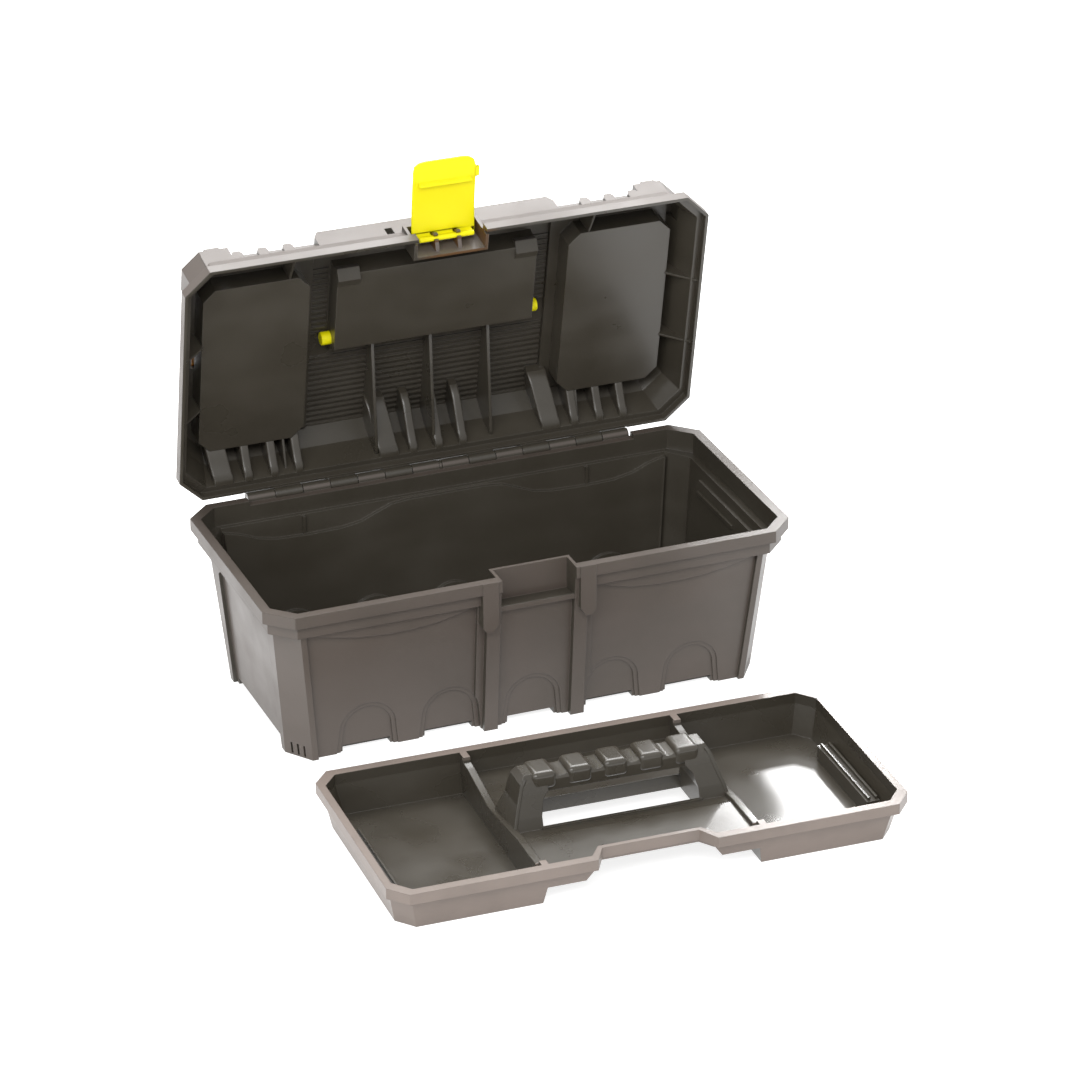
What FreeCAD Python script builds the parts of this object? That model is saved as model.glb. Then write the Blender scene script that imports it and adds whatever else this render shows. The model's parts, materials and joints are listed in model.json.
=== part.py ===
import FreeCAD, Part
import math
import os

# Toolbox with a lift-out tray. Millimetres, +Z up, +Y to the back, -Y to the
# front. The origin is the centre of the base's footprint, on the floor.
# The lid group is modelled closed and is then turned open about the main hinge.

V = FreeCAD.Vector

# ---- overall sizes
RIM_HALF_X = 200.0          # half length over the base rim
RIM_HALF_Y = 99.0           # half depth over the base rim
RIM_Z = 124.0               # height of the base rim
RIM_CHAMFER = 18.0          # corner chamfer of both rims
LID_TOP_Z = 167.0           # top of the closed lid

# ---- base walls
FOOT_HALF_X = 180.0         # half length at the floor
FOOT_HALF_Y = 81.0          # half depth at the floor
WALL_HALF_X = 190.0         # half length under the rim bands
WALL_HALF_Y = 91.0          # half depth under the rim bands
FOOT_TAPER = (WALL_HALF_X - FOOT_HALF_X) / 106.0
WALL_CHAMFER_X = 14.0
WALL_CHAMFER_Y = 20.0
WALL = 2.5                  # moulded wall thickness
BAND_STEP_Z = 106.0         # underside of the lower band
BAND_RIM_Z = 115.0          # underside of the rim band
LOWER_BAND_INSET = 4.4
SHELF_Z = 108.0             # inner step that carries the tray
MOUTH_HALF_X = 193.0        # opening inside the rim
MOUTH_HALF_Y = 92.0
PANEL_DEPTH = 3.0           # how far the side panels are set in
NICHE_DEPTH = 5.5           # how far the foot arches are set in
NICHE_RIM_DEPTH = 4.1       # the same for the shallow border round each arch
NICHE_RIM = 3.2
NICHE_FLARE = 2.5           # how much wider each arch is at its foot
NICHE_HALF = 18.0
NICHE_PITCH = 62.0
NICHE_SPRING_Z = 17.0
FOOT_H = 5.0                # height of the feet under the floor
RAIL_OUT = 12.0             # foot rail, measured in from the foot edge
RAIL_IN = 19.0

# ---- latch bay in the base front
BAY_HALF = 28.0
BAY_BACK_Y = -80.0
LEDGE_Z = 100.0
LEDGE_T = 2.2
LIP_FRONT_Y = -94.8
LIP_H = 1.6
POST_OUT = 38.3
POST_PROUD = 5.0
CAP_IN = 31.0
CAP_OUT = 43.0
CAP_FRONT_Y = -99.6
CAP_LOW_Z = 85.0

# ---- main hinge
HINGE_Y = 102.5
HINGE_Z = 121.0
HINGE_PIN_R = 2.0
HINGE_FIT = 0.06            # running radial clearance
KNUCKLE_R = 4.5
KNUCKLE_GAP = 0.5
HINGE_IN = 1.0
HINGE_OUT = 150.0
KNUCKLES = 7
RELIEF_Z = 120.6            # top of the back rim along the hinge
RELIEF_HALF = 151.0
LID_OPEN_DEG = 78.4

# ---- lid
LID_GAP = 0.3               # closed lid over the base rim
LID_HALF_X = 200.5
LID_HALF_Y = 99.5
LID_BAND_Z = 132.5
LID_MID_Z = 150.0
LID_T = 2.4
BLOCK_FRONT_Y = 90.0
BUMP_W = 8.0
BUMP_TOP_Z = 158.5
DIVIDER_T = 2.2
RIB_T = 1.6
GRID_PITCH = 4.6

# ---- organiser wells and covers
WELL_IN_X = 99.5
WELL_OUT_X = 180.0
WELL_FRONT_Y = -69.0
WELL_BACK_Y = 71.5
WELL_FLOOR_Z = 144.0
WELL_T = 2.0
WELL_CORNER = 9.0
COVER_AXIS_X = 96.5
COVER_OUT_X = 180.4
COVER_T = 2.4
COVER_FRONT_Y = -71.0
COVER_BACK_Y = 73.5
COVER_GAP = 0.4
COVER_PIN_R = 0.9
COVER_PIN_FIT = 0.06
COVER_PIN_L = 3.0
COVER_LIFT = 0.15           # cover top above the lid top

# ---- carry handle
GRIP_PIVOT_Y = -1.0
GRIP_PIVOT_Z = 160.0
GRIP_PIN_R = 5.0
GRIP_PIN_FIT = 0.08
RECESS_HALF_X = 77.0
RECESS_FLOOR_Z = 149.0
RECESS_FRONT_Y = -62.0
RECESS_BACK_Y = 3.0
RECESS_T = 2.0

# ---- latch
ROD_Y = -90.0
ROD_Z = 137.0
ROD_R = 2.0
ROD_FIT = 0.07
ROD_HALF = 21.0
HOOK_X = 8.6
HOOK_W = 3.0
HOOK_R = 4.2
FLAP_HALF = 24.0
FLAP_OUT_Y = -98.2
FLAP_T = 2.4
FLAP_BOW = 1.6              # outward bow of the flap
FLAP_LOW_Z = 79.0
NOTCH_HALF = 26.0
NOTCH_BACK_Y = -83.0
NOTCH_TOP_Z = 150.2
LATCH_OPEN_DEG = 95.0

# ---- tray
TRAY_HALF_X = 188.0
TRAY_HALF_Y = 91.0
TRAY_CHAMFER_X = 12.0
TRAY_CHAMFER_Y = 14.0
TRAY_H = 31.6
TRAY_BAND = 8.0
TRAY_FOOT_X = 179.5
TRAY_FOOT_Y = 80.5
TRAY_T = 2.0
TRAY_DIV_X = 79.0
TRAY_SET_BACK_Y = -76.4
TRAY_SET_BACK_X = 35.0
TRAY_MID_Z = 13.0
TRAY_MID_FRONT_Z = 21.5
TRAY_HOLE_X = 57.0
TRAY_HOLE_FRONT_Y = -21.0
TRAY_HOLE_BACK_Y = 15.0
TRAY_GRIP_Z = 57.0
TRAY_X = -7.9
TRAY_Y = -249.7
TRAY_TURN_DEG = -1.7


# ---------------------------------------------------------------- helpers
def box(x0, x1, y0, y1, z0, z1):
    """Axis-aligned block between two corners."""
    return Part.makeBox(x1 - x0, y1 - y0, z1 - z0, V(x0, y0, z0))


def octagon(hx, hy, cx, cy, z):
    """Corner points of a rectangle with cut corners."""
    return [
        V(-hx + cx, -hy, z), V(hx - cx, -hy, z), V(hx, -hy + cy, z), V(hx, hy - cy, z),
        V(hx - cx, hy, z), V(-hx + cx, hy, z), V(-hx, hy - cy, z), V(-hx, -hy + cy, z),
    ]


def face_of(points):
    """Planar face through the points."""
    return Part.Face(Part.makePolygon(points + [points[0]]))


def quad(a, b, c, d):
    """One planar face, or two triangles if the corners are out of plane."""
    normal = (b - a).cross(c - a)
    off = 0.0
    if normal.Length > 1e-9:
        off = abs((d - a).dot(normal) / normal.Length)
    if off < 1e-6:
        return [face_of([a, b, c, d])]
    return [face_of([a, b, c]), face_of([a, c, d])]


def stack(rings):
    """Closed solid through rings of points with equal counts."""
    faces = [face_of(rings[0]), face_of(rings[-1])]
    for low, high in zip(rings, rings[1:]):
        n = len(low)
        for i in range(n):
            j = (i + 1) % n
            faces += quad(low[i], low[j], high[j], high[i])
    solid = Part.Solid(Part.Shell(faces))
    if solid.Volume < 0:
        solid.reverse()
    return solid


def prism_xz(points, y0, y1):
    """Outline in X and Z pushed along Y."""
    wire = Part.makePolygon([V(x, y0, z) for x, z in points] + [V(points[0][0], y0, points[0][1])])
    return Part.Face(wire).extrude(V(0, y1 - y0, 0))


def prism_yz(points, x0, x1):
    """Outline in Y and Z pushed along X."""
    wire = Part.makePolygon([V(x0, y, z) for y, z in points] + [V(x0, points[0][0], points[0][1])])
    return Part.Face(wire).extrude(V(x1 - x0, 0, 0))


def prism_xy(points, z0, z1):
    """Outline in X and Y pushed along Z."""
    wire = Part.makePolygon([V(x, y, z0) for x, y in points] + [V(points[0][0], points[0][1], z0)])
    return Part.Face(wire).extrude(V(0, 0, z1 - z0))


def rod_x(radius, x0, x1, y, z):
    """Cylinder along X."""
    return Part.makeCylinder(radius, x1 - x0, V(x0, y, z), V(1, 0, 0))


def rod_y(radius, y0, y1, x, z):
    """Cylinder along Y."""
    return Part.makeCylinder(radius, y1 - y0, V(x, y0, z), V(0, 1, 0))


def join(shapes):
    """One clean solid from overlapping ones."""
    out = shapes[0]
    if len(shapes) > 1:
        out = shapes[0].multiFuse(shapes[1:])
    return out.removeSplitter()


def mirror_x(shape):
    """Copy mirrored to the other side."""
    return shape.mirror(V(0, 0, 0), V(1, 0, 0))


def save(shape, name):
    """Write one node."""
    if shape.ShapeType == "Compound" and len(shape.Solids) == 1:
        shape = shape.Solids[0]
    print(name, "solids", len(shape.Solids), "valid", shape.isValid(), "cm3", round(shape.Volume / 1000, 1))
    shape.exportStep("parts/%s.step" % name)


def opened(shape):
    """Turn a lid-group shape from closed to its rest angle."""
    out = shape.copy()
    out.rotate(V(0, HINGE_Y, HINGE_Z), V(1, 0, 0), -LID_OPEN_DEG)
    return out


# ------------------------------------------------------------------- base
def wall_body(inset, z0, z1):
    """The tapered tub body, set in by a distance."""
    rings = []
    for z in (z0, z1):
        t = z / BAND_STEP_Z
        hx = FOOT_HALF_X + (WALL_HALF_X - FOOT_HALF_X) * t - inset
        hy = FOOT_HALF_Y + (WALL_HALF_Y - FOOT_HALF_Y) * t - inset
        k = 0.45 * inset
        rings.append(octagon(hx, hy, WALL_CHAMFER_X - k, WALL_CHAMFER_Y - 1.2 * k, z))
    return stack(rings)


SMILE = [(44.0, 104.5), (58.0, 100.0), (74.0, 96.2), (92.0, 94.3), (112.0, 94.0),
         (132.0, 95.6), (150.0, 98.9), (171.5, 104.5)]
BACK_WAVE = [(0.0, 104.0), (30.0, 104.0), (44.0, 102.6), (56.0, 98.0), (68.0, 93.2), (82.0, 91.0),
             (108.0, 90.3), (132.0, 91.0), (148.0, 94.0), (160.0, 99.0), (171.3, 102.5)]


def wavy_panel(curve, side, grow, y0, y1):
    """Panel region below a wavy top edge."""
    pts = []
    last = len(curve) - 1
    for i, (x, z) in enumerate(curve):
        dx = 0.0
        if i == 0 and x > 0:
            dx = -grow
        if i == last:
            dx = grow
        pts.append((side * (x + dx), z + grow))
    # the far edge leans with the corner facet
    low_x = pts[-1][0] - side * (FOOT_TAPER * (pts[-1][1] + 5.0))
    outline = [(pts[0][0], -5.0)] + pts + [(low_x, -5.0)]
    return prism_xz(outline, y0, y1)


def arch(xc, grow, y0, y1, low=-5.0):
    """Round-topped niche region."""
    r = NICHE_HALF + grow
    pts = [(xc - r - NICHE_FLARE, low)]
    steps = 18
    for i in range(steps + 1):
        a = math.pi - math.pi * i / steps
        pts.append((xc + r * math.cos(a), NICHE_SPRING_Z + r * math.sin(a)))
    pts.append((xc + r + NICHE_FLARE, low))
    return prism_xz(pts, y0, y1)


def side_panel(side, grow):
    """Panel region on an end wall."""
    half = 54.0 + grow
    pts = [(-half, -5.0), (-half, 90.0), (-half + 10.0, 98.0 + grow), (half - 10.0, 98.0 + grow),
           (half, 90.0), (half, -5.0)]
    x0, x1 = (150.0, 215.0) if side > 0 else (-215.0, -150.0)
    return prism_yz(pts, x0, x1)


def hinge_cells(which):
    """X ranges of the knuckles of one leaf, on both sides."""
    width = (HINGE_OUT - HINGE_IN) / KNUCKLES
    out = []
    for i in range(KNUCKLES):
        if i % 2 != which:
            continue
        a = HINGE_IN + i * width + KNUCKLE_GAP / 2
        b = HINGE_IN + (i + 1) * width - KNUCKLE_GAP / 2
        out.append((a, b))
        out.append((-b, -a))
    return out


def make_base():
    """The moulded tub with its rim, feet, latch bay and hinge knuckles."""
    body = wall_body(0.0, 0.0, BAND_STEP_Z)
    inset_panel = wall_body(PANEL_DEPTH, -6.0, BAND_STEP_Z + 6.0)
    inset_niche = wall_body(NICHE_DEPTH, -6.0, BAND_STEP_Z + 6.0)
    inset_mid = wall_body(NICHE_DEPTH - PANEL_DEPTH, -6.0, BAND_STEP_Z + 6.0)
    inset_rim = wall_body(NICHE_RIM_DEPTH, -6.0, BAND_STEP_Z + 6.0)
    inset_mid_rim = wall_body(NICHE_RIM_DEPTH - PANEL_DEPTH, -6.0, BAND_STEP_Z + 6.0)
    centres = [k * NICHE_PITCH for k in (-2, -1, 0, 1, 2)]

    # outer relief
    cuts = []
    for side in (-1, 1):
        cuts.append(wavy_panel(SMILE, side, 0.0, -120.0, 0.0).cut(inset_panel))
        cuts.append(wavy_panel(BACK_WAVE, side, 0.0, 0.0, 120.0).cut(inset_panel))
        cuts.append(side_panel(side, 0.0).cut(inset_panel))
    for xc in centres:
        depth = inset_mid if xc == 0 else inset_niche
        shallow = inset_mid_rim if xc == 0 else inset_rim
        cuts.append(arch(xc, 0.0, -120.0, 0.0).cut(depth))
        cuts.append(arch(xc, NICHE_RIM, -120.0, 0.0).cut(shallow))
        cuts.append(arch(xc, 0.0, 0.0, 120.0).cut(inset_niche))
    body = body.cut(cuts)

    # rim bands and the latch posts
    lower = stack([
        octagon(RIM_HALF_X - LOWER_BAND_INSET, RIM_HALF_Y - LOWER_BAND_INSET, 16.4, 16.4, BAND_STEP_Z - 1.0),
        octagon(RIM_HALF_X - LOWER_BAND_INSET, RIM_HALF_Y - LOWER_BAND_INSET, 16.4, 16.4, BAND_RIM_Z),
    ])
    rim = stack([
        octagon(RIM_HALF_X, RIM_HALF_Y, RIM_CHAMFER, RIM_CHAMFER, BAND_RIM_Z),
        octagon(RIM_HALF_X, RIM_HALF_Y, RIM_CHAMFER, RIM_CHAMFER, RIM_Z),
    ])
    proud = wall_body(-POST_PROUD, 0.0, BAND_RIM_Z)
    adds = [lower, rim]
    for side in (-1, 1):
        a, b = sorted((side * BAY_HALF, side * POST_OUT))
        adds.append(box(a, b, -120.0, -70.0, 0.0, BAND_RIM_Z).common(proud))
        pts = [(CAP_IN, CAP_LOW_Z + 6), (CAP_IN + 4, CAP_LOW_Z), (CAP_OUT - 3, CAP_LOW_Z),
               (CAP_OUT, CAP_LOW_Z + 4), (CAP_OUT, RIM_Z), (CAP_IN, RIM_Z)]
        adds.append(prism_xz([(side * x, z) for x, z in pts], CAP_FRONT_Y, -80.0))
    ledge = box(-BAY_HALF - 1, BAY_HALF + 1, LIP_FRONT_Y, -78.0, LEDGE_Z - LEDGE_T, LEDGE_Z)
    body = join([body] + adds)
    body = body.cut(box(-BAY_HALF, BAY_HALF, -130.0, BAY_BACK_Y, LEDGE_Z, RIM_Z + 5))
    body = body.cut(box(-BAY_HALF, BAY_HALF, -130.0, LIP_FRONT_Y, BAND_STEP_Z - 20.0, RIM_Z + 5))
    lip = box(-BAY_HALF - 1, BAY_HALF + 1, LIP_FRONT_Y, LIP_FRONT_Y + 1.8, LEDGE_Z - LEDGE_T, LEDGE_Z + LIP_H)
    body = join([body, ledge, lip])

    # cavity, following the relief at a constant wall
    floor_z = FOOT_H + WALL
    inner = wall_body(WALL, floor_z, SHELF_Z)
    inner_panel = wall_body(WALL + PANEL_DEPTH, -6.0, SHELF_Z + 6.0)
    inner_niche = wall_body(WALL + NICHE_DEPTH, -6.0, SHELF_Z + 6.0)
    inner_rim = wall_body(WALL + NICHE_RIM_DEPTH, -6.0, SHELF_Z + 6.0)
    keep = []
    for side in (-1, 1):
        keep.append(wavy_panel(SMILE, side, WALL, -120.0, 0.0).cut(inner_panel))
        keep.append(wavy_panel(BACK_WAVE, side, WALL, 0.0, 120.0).cut(inner_panel))
        keep.append(side_panel(side, WALL).cut(inner_panel))
    for xc in centres:
        keep.append(arch(xc, WALL, -120.0, 0.0).cut(inner_niche))
        keep.append(arch(xc, WALL + NICHE_RIM, -120.0, 0.0).cut(inner_rim))
        keep.append(arch(xc, WALL, 0.0, 120.0).cut(inner_niche))
    inner = inner.cut(keep)
    mouth = stack([
        octagon(MOUTH_HALF_X, MOUTH_HALF_Y, 15.0, 15.0, SHELF_Z),
        octagon(MOUTH_HALF_X, MOUTH_HALF_Y, 15.0, 15.0, RIM_Z + 5),
    ])
    bay = box(-BAY_HALF - WALL, BAY_HALF + WALL, -120.0, BAY_BACK_Y + WALL, LEDGE_Z - LEDGE_T, RIM_Z + 6)
    cavity = join([inner, mouth]).cut(bay)
    body = body.cut(cavity)

    # underside: floor raised on feet that a rail joins
    under = stack([
        octagon(FOOT_HALF_X - RAIL_IN, FOOT_HALF_Y - RAIL_IN, 10.0, 12.0, -1.0),
        octagon(FOOT_HALF_X - RAIL_IN, FOOT_HALF_Y - RAIL_IN, 10.0, 12.0, FOOT_H),
    ])
    cuts = [under]
    for xc in centres:
        for y0, y1 in ((-120.0, -FOOT_HALF_Y + RAIL_OUT), (FOOT_HALF_Y - RAIL_OUT, 120.0)):
            cuts.append(box(xc - NICHE_HALF, xc + NICHE_HALF, y0, y1, -1.0, FOOT_H))
    for x0, x1 in ((-220.0, -FOOT_HALF_X + RAIL_OUT), (FOOT_HALF_X - RAIL_OUT, 220.0)):
        cuts.append(box(x0, x1, -50.0, 50.0, -1.0, FOOT_H))
    body = body.cut(cuts)

    # drain-like slots at the foot of each corner facet
    slots = []
    nx, ny = WALL_CHAMFER_Y, WALL_CHAMFER_X
    length = math.hypot(nx, ny)
    for sx in (-1, 1):
        for sy in (-1, 1):
            cx = sx * (FOOT_HALF_X - WALL_CHAMFER_X / 2)
            cy = sy * (FOOT_HALF_Y - WALL_CHAMFER_Y / 2)
            tx, ty = -sx * WALL_CHAMFER_X / length, sy * WALL_CHAMFER_Y / length
            for k in (-1, 0, 1):
                px, py = cx + tx * k * 5.5, cy + ty * k * 5.5
                one = Part.makeBox(3.0, 1.6, 9.0, V(-1.6, -0.8, 1.5))
                one.rotate(V(0, 0, 0), V(0, 0, 1), math.degrees(math.atan2(sy * ny, sx * nx)))
                one.translate(V(px, py, 0))
                slots.append(one)
    body = body.cut(slots)

    # tray guides on the end walls and two ribs on the back wall
    extra = []
    for side in (-1, 1):
        a, b = sorted((side * 181.6, side * 187.0))
        extra.append(box(a, b, -20.0, 44.0, 90.0, 93.0))
        a, b = sorted((side * 110.0, side * 112.4))
        extra.append(box(a, b, 86.6, 90.0, 90.0, SHELF_Z - 1.0))
    body = join([body] + extra)

    # hinge leaf
    body = body.cut(box(-RELIEF_HALF, RELIEF_HALF, 85.0, 110.0, RELIEF_Z, RIM_Z + 5))
    leaf = []
    for a, b in hinge_cells(0):
        leaf.append(rod_x(KNUCKLE_R, a, b, HINGE_Y, HINGE_Z))
        leaf.append(prism_yz([(95.0, 116.0), (HINGE_Y + 1.0, HINGE_Z - KNUCKLE_R + 0.1),
                              (HINGE_Y, HINGE_Z), (95.0, RELIEF_Z - 0.2)], a, b))
    body = join([body] + leaf)
    cuts = []
    for a, b in hinge_cells(1):
        cuts.append(rod_x(KNUCKLE_R + KNUCKLE_GAP, a - KNUCKLE_GAP, b + KNUCKLE_GAP, HINGE_Y, HINGE_Z))
    for side in (-1, 1):
        a, b = sorted((side * (HINGE_IN - 1), side * (HINGE_OUT + 1)))
        cuts.append(rod_x(HINGE_PIN_R + HINGE_FIT, a, b, HINGE_Y, HINGE_Z))
    return body.cut(cuts).removeSplitter()


def make_hinge_pin(side):
    """One hinge pin, as long as its row of knuckles."""
    a, b = sorted((side * (HINGE_IN + 0.5), side * (HINGE_OUT - 0.5)))
    return rod_x(HINGE_PIN_R, a, b, HINGE_Y, HINGE_Z)


# -------------------------------------------------------------------- lid
def lid_rings(t, low, top):
    """Rings of the lid body, set in by a thickness."""
    return [
        octagon(196.5 - t, 95.5 - t, 17.0 - 0.4 * t, 17.0 - 0.4 * t, low),
        octagon(190.0 - t, 90.0 - t, 15.0 - 0.4 * t, 15.0 - 0.4 * t, LID_MID_Z),
        octagon(184.5 - t, 80.0 - t, 12.0 - 0.4 * t, 12.0 - 0.4 * t, top),
    ]


def lid_blocks(t, y_out, depth, top, front):
    """Raised blocks and bumps on a long bevel; t thins them from the inside."""
    sign = -1 if front else 1
    spans = [(158.0, 178.0, top, 8.0), (-178.0, -158.0, top, 8.0)]
    if front:
        spans.append((-92.0, 92.0, top, 6.0))
    else:
        spans += [(-96.0, -62.0, top, 6.0), (62.0, 96.0, top, 6.0)]
        spans += [(x - 5.0, x + 5.0, top, 3.0) for x in (-33.0, -11.0, 11.0, 33.0)]
    out = []
    for x0, x1, z, slope in spans:
        if x1 - x0 <= 2 * t + 1:
            continue
        pts = [(x0 + t, LID_BAND_Z + 6.0), (x0 + t, z - slope), (x0 + t + slope * 0.6, z),
               (x1 - t - slope * 0.6, z), (x1 - t, z - slope), (x1 - t, LID_BAND_Z + 6.0)]
        ya, yb = sorted((sign * y_out, sign * depth))
        out.append(prism_xz(pts, ya, yb))
    if front:
        for side in (-1, 1):
            plan = [(156.0, -74.0), (156.0, -y_out), (177.5 - 0.6 * t, -y_out), (190.0 - t, -77.5 + 0.4 * t),
                    (190.0 - t, -60.0 - t), (174.0, -60.0 - t)]
            post = prism_xy([(side * x, y) for x, y in plan], LID_BAND_Z + 6.0, top - 2.0)
            out.append(post)
    for x in (-152.0, -133.0, -114.0, 114.0, 133.0, 152.0):
        half = BUMP_W / 2 - t
        if half < 1.0:
            continue
        z = BUMP_TOP_Z if t == 0 else BUMP_TOP_Z - t
        pts = [(x - half, LID_BAND_Z + 6.0), (x - half, z - 3.0), (x - half + 1.5, z),
               (x + half - 1.5, z), (x + half, z - 3.0), (x + half, LID_BAND_Z + 6.0)]
        ya, yb = sorted((sign * y_out, sign * (depth + 4.0)))
        out.append(prism_xz(pts, ya, yb))
    return out


def well_outline(grow):
    """Plan of one organiser well, right-hand side."""
    c = WELL_CORNER
    x0, x1 = WELL_IN_X - grow, WELL_OUT_X + grow
    y0, y1 = WELL_FRONT_Y - grow, WELL_BACK_Y + grow
    return [(x0 + c, y0), (x1 - c, y0), (x1, y0 + c), (x1, y1 - c), (x1 - c, y1), (x0 + c, y1),
            (x0, y1 - c), (x0, y0 + c)]


def make_lid():
    """Lid shell, in its closed place."""
    low = RIM_Z + LID_GAP
    band = stack([
        octagon(LID_HALF_X, LID_HALF_Y, RIM_CHAMFER, RIM_CHAMFER, low),
        octagon(LID_HALF_X, LID_HALF_Y, RIM_CHAMFER, RIM_CHAMFER, LID_BAND_Z),
    ])
    outer = join([band, stack(lid_rings(0.0, LID_BAND_Z - 2.0, LID_TOP_Z))]
                 + lid_blocks(0.0, BLOCK_FRONT_Y, 76.0, LID_TOP_Z, True)
                 + lid_blocks(0.0, BLOCK_FRONT_Y, 76.0, LID_TOP_Z, False))
    hollow_low = stack([
        octagon(LID_HALF_X - LID_T, LID_HALF_Y - LID_T, 16.6, 16.6, low - 2.0),
        octagon(LID_HALF_X - LID_T, LID_HALF_Y - LID_T, 16.6, 16.6, LID_BAND_Z - LID_T),
    ])
    hollow = join([hollow_low, stack(lid_rings(LID_T, LID_BAND_Z - LID_T - 0.5, LID_TOP_Z - LID_T))]
                  + lid_blocks(LID_T, BLOCK_FRONT_Y - LID_T, 74.0, LID_TOP_Z - LID_T, True))
    lid = outer.cut(hollow)

    adds = []
    # organiser wells, with a thick frame round each mouth
    frame = [(COVER_AXIS_X - 5.0, -76.0), (COVER_OUT_X + 2.8, -76.0), (COVER_OUT_X + 2.8, 77.5),
             (COVER_AXIS_X - 5.0, 77.5)]
    for side in (-1, 1):
        adds.append(prism_xy([(side * x, y) for x, y in well_outline(0.0)], WELL_FLOOR_Z, LID_TOP_Z - 1.0))
        adds.append(prism_xy([(side * x, y) for x, y in frame], LID_TOP_Z - 6.0, LID_TOP_Z))

    # carry-handle recess
    recess = [(RECESS_FRONT_Y, RECESS_FLOOR_Z), (RECESS_BACK_Y, RECESS_FLOOR_Z),
              (RECESS_BACK_Y + 11.0, LID_TOP_Z), (RECESS_FRONT_Y - 4.0, LID_TOP_Z)]
    adds.append(prism_yz(recess, -RECESS_HALF_X, RECESS_HALF_X))
    for side in (-1, 1):
        a, b = sorted((side * 60.0, side * RECESS_HALF_X))
        adds.append(prism_yz([(RECESS_FRONT_Y - 4.0, RECESS_FLOOR_Z + 2.5),
                              (RECESS_FRONT_Y + 4.0, RECESS_FLOOR_Z - 2.5),
                              (RECESS_FRONT_Y + 10.0, RECESS_FLOOR_Z),
                              (RECESS_FRONT_Y, LID_TOP_Z - 2.0)], a, b))

    # long dividers and the end dividers of the hinge half
    for x in (-45.0, 0.0, 45.0):
        adds.append(prism_yz([(RECESS_BACK_Y + 1.0, 156.0), (89.0, 134.0), (91.5, 134.0),
                              (84.0, LID_TOP_Z - 1.0),
                              (RECESS_BACK_Y + 1.0, LID_TOP_Z - 1.0)], x - DIVIDER_T / 2, x + DIVIDER_T / 2))

    # gripping ribs on the underside of the top between the dividers
    for x0, x1 in ((-91.0, -46.1), (-43.9, -1.1), (1.1, 43.9), (46.1, 91.0)):
        for k in range(14):
            y = 17.0 + GRID_PITCH * k
            if y < 77.0:
                adds.append(box(x0, x1, y, y + 1.6, LID_TOP_Z - LID_T - 1.4, LID_TOP_Z - 1.0))
    for side in (-1, 1):
        a, b = sorted((side * 79.0, side * 91.0))
        for k in range(13):
            y = -60.0 + GRID_PITCH * k
            adds.append(box(a, b, y, y + 1.6, LID_TOP_Z - LID_T - 1.4, LID_TOP_Z - 1.0))

    # ribs from the wells to the walls
    for side in (-1, 1):
        for y in (-22.0, 33.0):
            pts = [(WELL_OUT_X - 1.0, WELL_FLOOR_Z - 0.6), (198.4, 127.0), (199.0, 131.0),
                   (194.0, LID_MID_Z - 4.0),
                   (184.0, LID_TOP_Z - 3.0), (WELL_OUT_X - 1.0, LID_TOP_Z - 3.0)]
            adds.append(prism_xz([(side * x, z) for x, z in pts], y - RIB_T / 2, y + RIB_T / 2))
        a, b = sorted((side * (115.0 - RIB_T / 2), side * (115.0 + RIB_T / 2)))
        adds.append(prism_yz([(WELL_FRONT_Y + 1.0, WELL_FLOOR_Z + 1.0), (-95.0, 134.0),
                              (-90.0, LID_MID_Z - 2.0),
                              (-80.0, LID_TOP_Z - 3.0), (WELL_FRONT_Y + 1.0, LID_TOP_Z - 3.0)], a, b))
        adds.append(prism_yz([(WELL_BACK_Y - 1.0, WELL_FLOOR_Z + 1.0), (95.0, 134.0), (90.0, LID_MID_Z - 2.0),
                              (80.0, LID_TOP_Z - 3.0), (WELL_BACK_Y - 1.0, LID_TOP_Z - 3.0)], a, b))

    # sloped facets and ridges behind the hinge-side bevel
    wedge = [(57.0, LID_TOP_Z - 1.0), (58.0, 157.0), (64.0, 151.0), (90.0, 132.5), (95.5, 131.0),
             (93.0, 142.0),
             (88.5, LID_MID_Z), (80.0, LID_TOP_Z - 1.0)]
    for start in (-166.0, -38.0, 90.0):
        shapes = [(start, 7.0, 2.5)] + [(start + step, 2.8, 0.0) for step in (21.0, 41.0, 60.0)]
        for x, half, slant in shapes:
            plan = [(x - half - slant, 55.0), (x + half - slant, 55.0), (x + half + slant, 97.0),
                    (x - half + slant, 97.0)]
            adds.append(prism_xy(plan, 128.0, LID_TOP_Z - 1.0).common(prism_yz(wedge, x - 12.0, x + 12.0)))

    # latch pocket walls, seen from inside
    adds.append(box(-NOTCH_HALF - 2.4, NOTCH_HALF + 2.4, -94.0, NOTCH_BACK_Y + 2.2, 126.0, NOTCH_TOP_Z + 2.2))
    lid = join([lid] + adds)

    # skirt behind the knuckles, clear of those of the base
    skirt = prism_yz([(99.0, low + 0.7), (100.6, low + 1.1), (102.2, 131.5), (99.0, 131.5)],
                     -HINGE_OUT, HINGE_OUT)
    lid = join([lid, skirt])

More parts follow.
